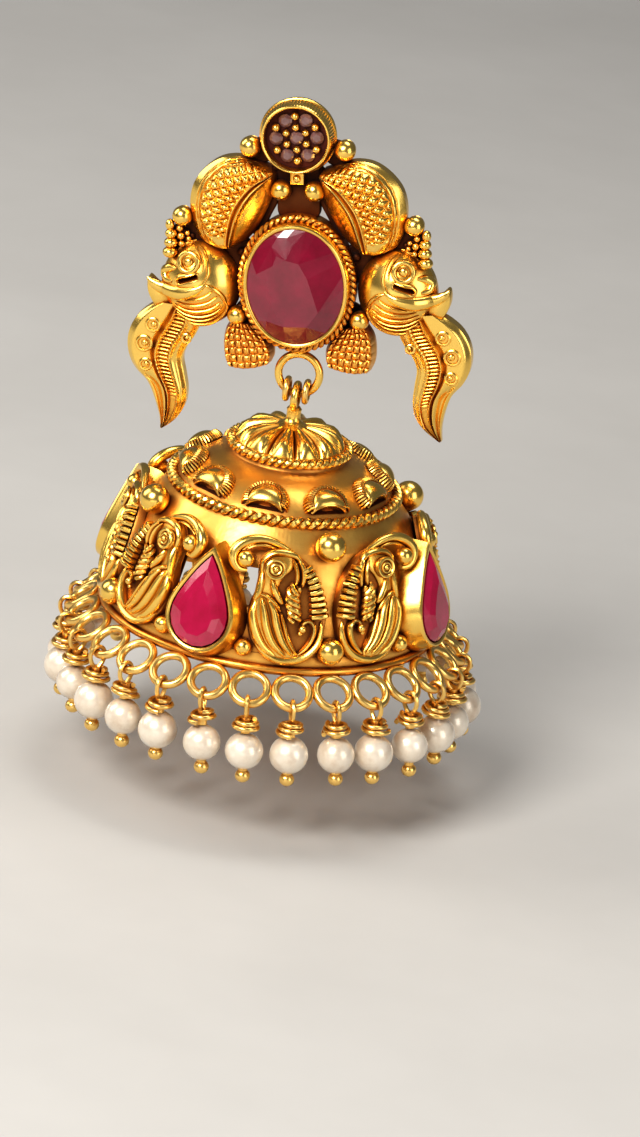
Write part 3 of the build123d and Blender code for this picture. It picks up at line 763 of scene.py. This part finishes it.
gem = Build()
seven = [(0.0, 0.0)] + [(STONE_RING * math.cos(math.radians(60 * k + STONE_ANGLE)),
                         STONE_RING * math.sin(math.radians(60 * k + STONE_ANGLE))) for k in range(6)]
for gx_, gz_ in seven:
    pts = []
    for radius, w, n in ((0.60, 1.58, 12), (0.60, 1.74, 12), (0.36, 1.93, 6)):
        for k in range(n):
            a = 2 * math.pi * (k + 0.5) / n
            pts.append((gx_ + radius * math.cos(a), DISC_Z + gz_ + radius * math.sin(a), w))
    hull(gem, pts)
small = Build()
small.put(gem, on_crown)
small.make("top_stones", SMOKY, "crown", nodes=("disc_stones",), smooth=False)

oval = Build()
GA, GB = OA + 0.03, OB + 0.03
pts = [(GA * math.cos(2 * math.pi * k / 28), GB * math.sin(2 * math.pi * k / 28), w) for k in range(28) for w in (1.40, 2.92)]
# crown facets, a six-sided one near the top, then the long table that leans to one side
for deg, k, w in ((272, 0.88, 3.16), (312, 0.76, 3.52)):
    a = math.radians(deg)
    pts.append((GA * k * math.cos(a), GB * k * math.sin(a), w))
pts += [(-3.26, 1.15, 3.48), (-4.06, -0.23, 3.01), (-2.45, -3.00, 3.56)]
pts += [(-1.04 + 0.88 * math.cos(math.radians(60 * k)), 3.70 + 0.88 * math.sin(math.radians(60 * k)),
         3.50 - 0.34 * 0.88 * math.sin(math.radians(60 * k))) for k in range(6)]
TABLE = [(-0.66, 2.62), (0.47, 2.35), (1.22, 1.05), (1.64, -0.35), (2.15, -1.95), (1.14, -3.30), (-0.86, -3.35),
         (-2.00, -1.55), (-2.30, 0.60), (-1.80, 2.05)]
pts += [(x, z, 3.90) for x, z in TABLE]
hull(oval, pts)
ob = Build()
ob.put(oval, on_crown)
ob.make("oval_stone", RUBY, "crown", nodes=("oval_ruby",), smooth=False)

# ------------------------------------------------------------- the bell
PEAR_1 = -14.2
PEARS = [PEAR_1 + 90 * i for i in range(4)]
CAP_Z, CAP_R = -14.75, 5.12
SHOULDER_R, SHOULDER_Z = 9.85, -18.40
RIM_R, RIM_Z = 14.60, -30.20


def spot(angle, radius, z):
    t = math.radians(angle)
    return np.array([BX + radius * math.sin(t), BY - radius * math.cos(t), z])


def facing(angle, radius, z, lean):
    """Places (across, up, out) on a plane that faces out from the bell's axis."""
    t, e = math.radians(angle), math.radians(lean)
    o = spot(angle, radius, z)
    x = np.array([math.cos(t), math.sin(t), 0.0])
    n = np.array([math.sin(t) * math.cos(e), -math.cos(t) * math.cos(e), math.sin(e)])
    y = np.cross(n, x)
    return lambda v: o + v[:, :1] * x + v[:, 1:2] * y + v[:, 2:] * n


bell = Build()
# near-black painted shade: the insides of the hoods' mouths and the balls behind the rim balls
dark = Build()
# cap: petals that swell towards the edge
PETALS = 12
cap_prof = [(0.02, -12.90), (0.9, -12.92), (1.5, -12.96), (2.1, -13.05), (2.7, -13.18), (3.3, -13.38), (3.8, -13.62),
            (4.2, -13.90), (4.55, -14.20), (4.80, -14.48), (4.96, -14.72)]


def petal(phi, i):
    k = [0, 0.3, 0.6, 0.85, 1.0, 1.05, 1.1, 1.0, 0.8, 0.4, 0.0][i]
    c = np.abs(np.cos(phi * PETALS / 2))
    lobe = c ** 0.65
    border = np.exp(-((c - 0.30) / 0.12) ** 2) - 0.7 * np.exp(-((c - 0.58) / 0.12) ** 2)
    swell = [0, 0, 0, 0.1, 0.3, 0.7, 1.0, 1.0, 0.7, 0.3, 0][i]
    return swell * 0.12 * lobe, k * (0.62 * lobe - 0.38 + 0.15 * border) + swell * 0.20 * lobe ** 3


turned(bell, cap_prof, n=PETALS * 36, wave=petal, centre=(BX, BY))
# collar under the petals, and the flared shoulder
shoulder = Build()
turned(shoulder, [(4.96, -14.70), (5.02, -14.95), (5.02, -15.45), (5.15, -15.62), (6.30, -15.98), (7.70, -16.62),
                  (8.90, -17.55), (9.70, -18.45), (9.80, -18.80), (9.60, -18.95), (9.10, -18.60), (7.2, -17.1),
                  (4.4, -16.0), (4.4, -15.1), (2.6, -14.0), (0.02, -13.6)], n=180, centre=(BX, BY))
# stem and eye
turned(bell, [(0.02, -11.28), (0.50, -11.30), (0.66, -11.50), (0.62, -11.85), (0.62, -12.25), (0.74, -12.55),
              (1.00, -12.76), (1.35, -12.90), (1.55, -13.05)], n=40, centre=(BX, BY))
EYE_Z = HANG[2] - HANG_R + 0.35 + 0.33 + 0.10 - 1.05
ring(bell, (BX, BY, EYE_Z), 1.05, 0.33, (0, 1, 0), (0, 0, 1), 60, 16)

UPZ = np.array([0.0, 0.0, 1.0])


def round_rope(b, R, z, r, off, twists, n):
    a = np.arange(n) * 2 * math.pi / n
    rope(b, np.column_stack([BX + R * np.cos(a), BY + R * np.sin(a), np.full(n, z)]), r, off, twists, UPZ)


round_rope(bell, CAP_R, CAP_Z, 0.245, 0.225, 24, 520)
round_rope(bell, SHOULDER_R, SHOULDER_Z, 0.285, 0.265, 36, 760)
# rim: dull band and smooth wire
wall = Build()
rim = Build()
turned(wall, [(14.30, -28.95), (14.42, -29.35), (14.50, -29.80), (14.40, -30.10), (14.05, -30.30), (13.90, -29.80),
              (13.80, -28.95)], n=220, centre=(BX, BY))
turned(rim, [(14.50, -29.98), (14.72, -30.06), (14.72, -30.36), (14.40, -30.52), (14.10, -30.42), (14.02, -30.10)],
       n=220, centre=(BX, BY))
ring(rim, (BX, BY, RIM_Z), RIM_R, 0.40, (1, 0, 0), (0, 1, 0), 200, 14)
rim.make("bell_rim", GOLD_WARM, "bell")

# wall behind the settings and birds, with its openings, in a darker gold painted as its shade
slots = [(a + d, 2.7, -25.3, -22.1) for a in PEARS for d in (-13.6, 13.6)]
angles = np.unique(np.round(np.concatenate([np.arange(0, 360, 2.0)] + [[c - w, c + w] for c, w, _, _ in slots]) % 360, 3))
levels = np.unique(np.concatenate([np.linspace(-30.0, -18.7, 24), [-25.3, -22.1]]))


def wall_r(z):
    return np.interp(z, [-30.2, -28.2, -26.0, -23.2, -20.8, -18.5], [14.45, 14.10, 13.58, 12.62, 11.48, 9.72])


def outside(v, keep=0.32):
    """Pushes what would stand inside the bell out to just behind its wall."""
    d = v[:, :2] - np.array([BX, BY])
    r = np.hypot(d[:, 0], d[:, 1])
    lim = wall_r(v[:, 2]) - keep
    k = np.where(r < lim, lim / np.maximum(r, 1e-6), 1.0)
    return np.column_stack([np.array([BX, BY]) + d * k[:, None], v[:, 2]])


def slot_at(a, z):
    return any(abs((a - c + 180) % 360 - 180) < w and z0 < z < z1 for c, w, z0, z1 in slots)


for k in range(len(angles)):
    a0, a1 = angles[k], angles[(k + 1) % len(angles)]
    am = (a0 + ((a1 - a0) % 360) / 2) % 360
    for j in range(len(levels) - 1):
        z0, z1 = levels[j], levels[j + 1]
        if slot_at(am, (z0 + z1) / 2):
            continue
        for d, flip in ((0.0, False), (0.5, True)):
            q = [spot(a0, wall_r(z0) - d, z0), spot(a1, wall_r(z0) - d, z0), spot(a1, wall_r(z1) - d, z1),
                 spot(a0, wall_r(z1) - d, z1)]
            wall.add(q[::-1] if flip else q, [[0, 1, 2, 3]])

# half-moon hoods: milled upper edge, bright swelling face, lipped mouth below whose inside is a near-black sheet of
# painted shade
moon = Build()
mouth = Build()


def moon_h(u, v, s, r, wide):
    e = np.sin(math.pi * np.clip(0.03 + 0.94 * u, 0, 1)) ** 0.40
    return -0.10 + e * (0.42 + 0.78 * np.sin(math.pi * np.clip(0.30 + 0.62 * v, 0, 1)) ** 0.8)


def moon_arc(R, drop, a0=0.05, n=15):
    return [(R * math.cos(t), R * math.sin(t) - drop) for t in np.linspace(math.pi * (1 + a0), -math.pi * a0, n)]


lip = [(-1.66, -1.22), (-1.28, -1.04), (-0.70, -0.90), (0.0, -0.84), (0.70, -0.90), (1.28, -1.04), (1.66, -1.22)]
ribbon(moon, lip, moon_arc(1.60, 0.62), moon_h, 60, 26, -0.35)
for k, t in enumerate(np.linspace(math.pi * 1.06, -math.pi * 0.06, 25)):
    c, s_ = math.cos(t), math.sin(t)
    tube(moon, [(1.54 * c, 1.54 * s_ - 0.62, 0.60), (1.84 * c, 1.84 * s_ - 0.62, 0.54), (2.06 * c, 2.06 * s_ - 0.62, 0.16),
                (2.10 * c, 2.10 * s_ - 0.62, -0.2)], 0.115, n=8)
line = smooth_line(lip, 40)
tube(moon, np.column_stack([line, 0.80 - 0.75 * np.abs(np.linspace(-1, 1, 40)) ** 2.2]), 0.13, n=9)
sheet_of(mouth, np.stack([np.column_stack([line, 0.70 - 0.75 * np.abs(np.linspace(-1, 1, 40)) ** 2.2]),
                          np.column_stack([line[:, 0], line[:, 1] + 0.10, np.full(40, -0.05)]),
                          np.column_stack([line[:, 0] * 1.02, np.full(40, -1.30), np.full(40, -0.02)])]))
for i in range(10):
    a = -1.7 + 36 * i
    for made, part in ((bell, moon), (dark, mouth)):
        made.put(part, (lambda v, p=facing(a, 8.22, -16.94, 50): p(v * 0.96)))

# pear settings
DOWN = 1.60


def pear_line(w, up, n=72):
    v = -DOWN
    right = smooth_line([(0, v + up), (w * 0.36, v + up * 0.76), (w * 0.74, v + up * 0.42), (w * 0.95, v + up * 0.17), (w, v)]
                        + [(w * math.cos(t), v - w * math.sin(t)) for t in np.linspace(0.3, math.pi / 2, 6)], n // 2)
    left = right[::-1][1:-1] * np.array([-1, 1])
    return np.vstack([right, left])


setting = Build()
rings = []
for w, up, out in ((3.40, 6.45, -3.3), (3.58, 6.62, -2.4), (3.50, 6.55, -1.6), (3.30, 6.40, -0.8), (3.14, 6.25, -0.30),
                   (3.12, 6.22, -0.12), (3.02, 6.05, 0.02), (2.86, 5.78, 0.03), (2.72, 5.55, -0.06), (2.64, 5.42, -0.9)):
    o = pear_line(w, up)
    rings.append(np.column_stack([o, np.full(len(o), out)]))
sheet_of(setting, np.stack(rings), wv=True)
fill(setting, rings[0], flip=True)
fill(setting, rings[-1])

pear_gem = Build()
pts = []
o = pear_line(2.60, 5.34, 24)
for out, k, line in ((-1.1, 1.0, o), (0.0, 1.0, o)):
    pts += [(p[0], p[1], out) for p in line]
for k, out, n, sh in ((0.80, 0.36, 12, 0.04), (0.56, 0.60, 12, 0.14)):
    line = pear_line(2.60 * k, 5.34 * k, n * 2)[::2]
    pts += [(p[0], p[1] - sh * 1.6, out) for p in line]
hull(pear_gem, pts)

# bird figure of the bell, (across, up, out); the pear stone is on its left
fig = Build()
ground = Build()
FIG_OUT = [(-0.98, 4.85), (-2.05, 4.35), (-2.72, 3.20), (-2.72, 1.50), (-3.20, 0.10), (-3.32, -1.60), (-2.75, -3.35),
           (-1.30, -4.50), (0.45, -4.82), (1.95, -4.35), (2.95, -3.25), (3.35, -1.66), (3.30, 0.10), (2.70, 1.95),
           (1.75, 3.40), (0.50, 4.40)]
# the figure's ground plate, in the darker gold that paints the shade of the openwork
plate(ground, FIG_OUT, -1.15, -0.30, 0.28, 110, top=0.12)


def skin(x, y):
    return 0.06 - 0.026 * (x ** 2 + (y * 0.65) ** 2) + 0 * x


# solid parts that stand on the ground: wing, neck and head
plate(fig, [(-3.00, 0.60), (-2.20, 0.85), (-1.30, 0.30), (-0.55, -0.70), (0.10, -2.10), (0.90, -3.60), (0.90, -4.40),
            (-0.40, -4.62), (-1.70, -4.10), (-2.70, -2.90), (-3.18, -1.20)], -0.8, 0.05, 0.22, 100, top=0.16)
plate(fig, [(-2.55, 3.70), (-1.70, 4.45), (-0.55, 4.55), (0.20, 4.05), (0.05, 3.20), (-0.55, 2.50), (-0.95, 1.70),
            (-1.10, 0.70), (-0.90, -0.20), (-1.60, 0.35), (-2.50, 0.90), (-2.75, 2.20)], -0.8, -0.02, 0.22, 100, top=0.14)
FIG_RIDGES = [
    # feathers on the pear side
    dict(hw=0.46, h=0.60, w=0.00, pts=[(-2.80, 0.45), (-2.98, -0.80), (-2.62, -2.20), (-1.85, -3.50), (-0.60, -4.45)]),
    dict(hw=0.44, h=0.66, w=0.06, pts=[(-2.35, 0.60), (-2.05, -0.60), (-1.72, -1.90), (-1.05, -3.20), (0.15, -4.30)]),
    dict(hw=0.42, h=0.66, w=0.08, pts=[(-1.80, 0.55), (-1.22, -0.45), (-0.85, -1.70), (-0.22, -3.05), (0.75, -4.15)]),
    dict(hw=0.24, h=0.50, w=0.06, pts=[(-0.62, -0.55), (-0.20, -1.70), (0.30, -2.95), (1.10, -4.10)]),
    dict(hw=0.42, h=0.56, w=-0.12, pts=[(-2.60, -3.10), (-1.80, -4.00), (-0.60, -4.60), (0.60, -4.62), (1.85, -4.15),
                                        (2.75, -3.15), (3.05, -1.90), (2.95, -1.05)]),
    # neck and collar
    dict(hw=0.36, h=0.52, w=-0.02, pts=[(-2.48, 3.00), (-2.52, 1.95), (-2.66, 1.10), (-2.95, 0.30)]),
    dict(hw=0.22, h=0.42, w=0.06, pts=[(-2.70, 0.95), (-1.95, 0.78), (-1.20, 0.22), (-0.62, -0.50)]),
    dict(hw=0.36, h=0.56, w=0.02, pts=[(-1.62, 2.35), (-1.42, 1.55), (-1.02, 0.85), (-0.52, 0.15)]),
    # head
    dict(hw=0.36, h=0.56, w=-0.02, pts=[(-2.48, 2.75), (-2.46, 3.75), (-1.82, 4.42), (-0.78, 4.60), (0.22, 4.40),
                                        (0.85, 3.82)]),
    dict(hw=0.22, h=0.50, w=0.02, pts=[(0.00, 4.15), (0.38, 3.35), (0.52, 2.50), (0.40, 1.75)]),
    dict(hw=0.28, h=0.52, w=0.00, pts=[(0.50, 4.10), (1.00, 3.35), (1.12, 2.50), (0.98, 1.75)]),
]
for f in FIG_RIDGES:
    ridge(fig, f["pts"], f["w"], f["hw"], f["h"], surf=skin, n=36, sides=12, low=0.2)
# eye
ball(fig, (-1.42, 3.18, 0.12), 0.92, 3, (1, 1, 0.50))
ring(fig, (-1.42, 3.18, 0.50), 0.76, 0.17, (1, 0, 0), (0, 1, 0), 36, 9)
ring(fig, (-1.42, 3.18, 0.58), 0.42, 0.10, (1, 0, 0), (0, 1, 0), 28, 8)
ball(fig, (-1.42, 3.18, 0.55), 0.27, 2)
# fat ribs down the mirror-line side, wider as they go
rib_line = smooth_line([(1.35, 3.35), (1.88, 2.45), (2.28, 1.45), (2.52, 0.45), (2.72, -0.60)], 9)
d = unit(np.gradient(rib_line, axis=0))
for k, p in enumerate(rib_line):
    n_ = np.array([-d[k][1], d[k][0]])
    half_w = 0.34 + 0.36 * k / 8
    a, b_ = p - n_ * half_w, p + n_ * half_w
    tube(fig, [(a[0], a[1], -0.15), ((a[0] * 3 + p[0]) / 4, (a[1] * 3 + p[1]) / 4, 0.30), (p[0], p[1], 0.46),
               ((b_[0] * 3 + p[0]) / 4, (b_[1] * 3 + p[1]) / 4, 0.30), (b_[0], b_[1], -0.25)], 0.225, n=9)
# fat granulated coil in the middle
coil = smooth_line([(0.50, 1.85), (0.25, 1.20), (0.32, 0.40), (0.50, -0.35), (0.62, -1.25)], 70)
side_c, top_c = line_frames(np.column_stack([coil, np.zeros(70)]), False, UPW)
ph = np.linspace(0, 2 * math.pi * 1.9, 70)
for k in range(3):
    a = ph + 2 * math.pi * k / 3
    path = (np.column_stack([coil, np.full(70, 0.16)]) + side_c * (0.42 * np.cos(a))[:, None]
            + np.array([0, 0, 1.0]) * (0.26 * np.sin(a))[:, None])
    tube(fig, path, 0.27 * (0.35 + 0.65 * np.sin(math.pi * np.linspace(0.04, 0.96, 70)) ** 0.5), n=9)
    for j in range(5, 66, 7):
        if math.sin(a[j]) > 0.2:
            ball(fig, path[j] + np.array([0, 0, 0.20]), 0.13, 1)
# hook below the coil
ridge(fig, [(1.28, -1.85), (1.45, -1.28), (1.98, -1.10), (2.36, -1.60), (2.30, -2.45), (1.85, -3.35), (1.15, -4.10)],
      0.02, 0.25, 0.50, surf=skin, n=40, sides=10, low=0.4)
ball(fig, (1.36, -1.80, 0.32), 0.36, 2)
ball(fig, (1.20, -2.20, 0.20), 0.22, 2)
# crest scroll that curls over to its ball
ridge(fig, [(0.10, 4.55), (-0.80, 5.02), (-1.75, 5.42), (-2.75, 5.58), (-3.75, 5.42), (-4.60, 4.95), (-5.08, 4.25),
            (-5.00, 3.45), (-4.50, 2.90), (-3.80, 2.82)], -0.45, 0.46, 0.50, n=60,
      widths=[0.4, 0.6, 0.7, 0.8, 0.9, 1.0, 1.05, 1.0, 0.8, 0.4])
ridge(fig, [(-1.20, 4.75), (-2.20, 5.05), (-3.20, 5.00), (-4.10, 4.62)], -0.35, 0.16, 0.28, n=30)
ball(fig, (-4.02, 3.80, -0.30), 0.78, 3)

figures = Build()
grounds = Build()
for a in PEARS:
    bell.put(setting, lambda v, p=facing(a, 15.20, -24.70, 14.0): outside(p(v)))
    for side in (-1, 1):
        place = facing(a + side * 29.0, 12.95 + 0.87, -24.85 + 0.23, 15.0)
        set_down = (lambda v, p=place, m=side < 0: outside(p(mirrored(v) if m else v)))
        figures.put(fig, set_down, side < 0)
        grounds.put(ground, set_down, side < 0)
        ball(bell, spot(a + side * 15.2, 14.5, -28.5), 0.80, 3)
        # a near-black ball behind it stands for the struts from the small ball to rim and figure, as painted shade
        ball(dark, spot(a + side * 15.2, 13.9, -28.9), 0.62, 2)
    ball(bell, spot(a + 45, 11.9, -19.75), 1.32, 4)
    ball(bell, spot(a + 45, 14.7, -28.3), 1.18, 4)
    # and a near-black painted-shade ball behind the lower one
    ball(dark, spot(a + 45, 13.6, -28.9), 0.90, 2)

SLOPE = math.radians(38.0)
RING_1 = -46.0
DROPS_LEAN = 4.0
RING_CR = RIM_R + 2.14 * math.cos(SLOPE)
RING_CZ = RIM_Z - 2.14 * math.sin(SLOPE)
loops = Build()
for k in range(28):
    place = facing(RING_1 + 360 / 28 * k, RING_CR, RING_CZ, 90 - 38.0)
    one = Build()
    ring(one, (0, 0, 0), 1.51, 0.37, (1, 0, 0), (0, 1, 0), 44, 12)
    loops.put(one, place)

bell.make("bell_metal", GOLD, "bell", nodes=("bell_shell",))
figures.make("bell_birds", GOLD, "bell")
grounds.make("bell_bird_grounds", GOLD_GROUND, "bell")
# hoods' mouths and balls behind, in near-black painted shade
dark.make("bell_painted_shade_parts", GOLD_DARK, "bell")
wall.make("bell_wall", GOLD_WALL, "bell")
shoulder.make("bell_shoulder", SHOULDER_GOLD, "bell")
loops.make("rim_rings", WIRE, "bell")
for i, a in enumerate(PEARS):
    g = Build()
    g.put(pear_gem, facing(a, 15.20, -24.70, 14.0))
    g.make(f"pear_stone_{i + 1}", PINK, "bell", nodes=(f"pear_ruby_{i + 1}",), smooth=False)

# ------------------------------------------------------------- the drops
EYE_TOP, PEARL_DOWN, PEARL_R = 0.33 + 0.06 + 0.20, 4.25, 1.75


def drop(seed):
    """Wire eye, loose wraps, stub and ball end; hangs along -Z from the ring's wire."""
    rng = np.random.default_rng(seed)
    b = Build()
    w, top, low = 0.72, EYE_TOP, -1.22
    eye = [(0, w * math.sin(t), top - w + w * math.cos(t)) for t in np.linspace(0, math.pi / 2, 7)]
    eye += [(0, w * 0.96, top - w - 0.35), (0, 0.50, low + 0.30), (0, 0.17, low - 0.10), (0, 0.05, low - 0.5)]
    for sgn in (1, -1):
        tube(b, smooth_line([(x, sgn * y, z) for x, y, z in eye], 30), 0.195, n=9)
    turns = 1.9 + 0.4 * rng.random()
    s = np.linspace(0, 1, 90)
    R = 0.74 + 0.40 * s + 0.05 * np.sin(9 * s + 6 * rng.random())
    a = 2 * math.pi * turns * s + 6.28 * rng.random()
    tip = 0.24 * (rng.random() - 0.2)
    z = -1.34 - 0.90 * s + tip * R * np.cos(a + 6 * rng.random())
    tube(b, np.column_stack([R * np.cos(a), R * np.sin(a), z]), 0.215, n=10)
    tube(b, [(0, 0, -1.2), (0, 0, -2.0), (0, 0, -2.6)], 0.42, n=12)
    foot = -PEARL_DOWN - PEARL_R
    tube(b, [(0, 0, foot + 0.4), (0, 0, foot - 0.2)], 0.40, n=14)
    ball(b, (0, 0, foot - 0.48), 0.66, 3, (1, 1, 0.92))
    return b


def rot(axis, deg):
    return np.array(Matrix.Rotation(math.radians(deg), 3, axis))


for q in range(4):
    pins = Build()
    for k in range(7 * q, 7 * q + 7):
        a = RING_1 + 360 / 28 * k
        lean_side = 2.6 * math.sin(2.3 * k + 0.4) + DROPS_LEAN * math.cos(math.radians(a))
        lean_out = 1.5 + 1.8 * math.sin(1.7 * k + 1.1) + DROPS_LEAN * math.sin(math.radians(a))
        foot = spot(a, RING_CR + 1.49 * math.cos(SLOPE), RING_CZ - 1.49 * math.sin(SLOPE))
        R = rot("Z", a) @ rot("X", -lean_out) @ rot("Y", -lean_side)
        pins.put(drop(k), lambda v, R=R, o=foot: v @ R.T + o)
    pins.make(f"pins_{q + 1}", WIRE, "bell", nodes=(f"drop_pins_{q + 1}",))
for k in range(28):
    lo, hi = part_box(f"pearl_{k + 1:02d}")
    c = (np.array(lo) + np.array(hi)) / 2 / MM
    b = Build()
    size = PEARL_R * (0.955 + 0.045 * math.sin(2.9 * k + 1.0))
    ball(b, c, size, 4, (1, 1, 0.975 + 0.02 * math.sin(1.3 * k)))
    b.make(f"pearl_round_{k + 1:02d}", PEARL, "bell", nodes=(f"pearl_{k + 1:02d}",), sharp=80)

# jump rings beside the bell's eye
for name, s_ in (("jump_ring_left", -1), ("jump_ring_right", 1)):
    lo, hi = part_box(name)
    c = (np.array(lo) + np.array(hi)) / 2 / MM
    b = Build()
    ring(b, c, 0.86, 0.28, (0, 1, 0), (0, 0, 1), 44, 12)
    b.make(name + "_wire", WIRE, "connection", nodes=(name,), sharp=80)

frame["nodes"]["ear_post"].data.materials.clear()
frame["nodes"]["ear_post"].data.materials.append(WIRE)

# ------------------------------------------------------ floor, light, camera
obj_lo, obj_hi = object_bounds()
floor_z = obj_lo.z - 0.006


def stage_mat():
    m, nt, bs = node_mat("backdrop")
    nz = noise(nt, 30.0, 4.0)
    col = ramp(nt, nz.outputs["Fac"], [(0.3, (0.50, 0.49, 0.475)), (0.7, (0.54, 0.53, 0.515))])
    link(nt, col.outputs["Color"], bs.inputs["Base Color"])
    bs.inputs["Roughness"].default_value = 0.85
    return m


bpy.ops.mesh.primitive_plane_add(size=4.0, location=(0, 0.5, floor_z))
floor = bpy.context.object
floor.name = "floor"
floor.data.materials.append(stage_mat())

world = bpy.data.worlds.new("soft")
bpy.context.scene.world = world
world.use_nodes = True
world.node_tree.nodes["Background"].inputs[0].default_value = (0.80, 0.84, 0.90, 1)
world.node_tree.nodes["Background"].inputs[1].default_value = 0.15
centre = (obj_lo + obj_hi) / 2


def softbox(name, offset, size, power, colour=(1, 0.96, 0.9)):
    d = bpy.data.lights.new(name, "AREA")
    d.shape = "RECTANGLE"
    d.size, d.size_y = size
    d.energy = power
    d.color = colour
    o = bpy.data.objects.new(name, d)
    o.location = centre + Vector(offset)
    o.rotation_mode = "QUATERNION"
    o.rotation_quaternion = (centre - o.location).to_track_quat("-Z", "Y")
    bpy.context.scene.collection.objects.link(o)


softbox("key", (-0.14, -0.30, 0.26), (0.18, 0.18), 1.7)
softbox("fill", (0.34, -0.22, 0.12), (0.20, 0.30), 0.45)
softbox("left", (-0.36, 0.02, 0.22), (0.20, 0.30), 0.6)
softbox("top", (0.05, 0.10, 0.40), (0.24, 0.16), 0.6)
softbox("low", (0.0, -0.36, -0.02), (0.30, 0.10), 0.12)

azr, elr, ro = math.radians(10.009), math.radians(19.343), math.radians(-0.244)
vb = np.array([math.sin(azr) * math.cos(elr), -math.cos(azr) * math.cos(elr), math.sin(elr)])
vr = np.array([math.cos(azr), math.sin(azr), 0.0])
vu = np.cross(vb, vr)
r2 = vr * math.cos(ro) + vu * math.sin(ro)
u2 = -vr * math.sin(ro) + vu * math.cos(ro)
aim = np.array([1.563, 0.0, -26.556])


def crown_turn(p):
    return np.array([p[0] * CT - p[2] * ST, p[1], p[0] * ST + p[2] * CT])


r2, u2, vb, aim = (crown_turn(p) for p in (r2, u2, vb, aim))
cam_data = bpy.data.cameras.new("camera")
cam = bpy.data.objects.new("camera", cam_data)
bpy.context.scene.collection.objects.link(cam)
m = Matrix.Identity(4)
for i in range(3):
    m[i][0], m[i][1], m[i][2] = r2[i], u2[i], vb[i]
    m[i][3] = (aim[i] + vb[i] * 600.0) * MM
cam.matrix_world = m
cam_data.sensor_width = 36.0
cam_data.lens = 216.9
cam_data.clip_start, cam_data.clip_end = 0.01, 20
bpy.context.scene.camera = cam
bpy.context.scene.view_settings.view_transform = "Standard"
bpy.context.scene.view_settings.look = "Medium High Contrast"
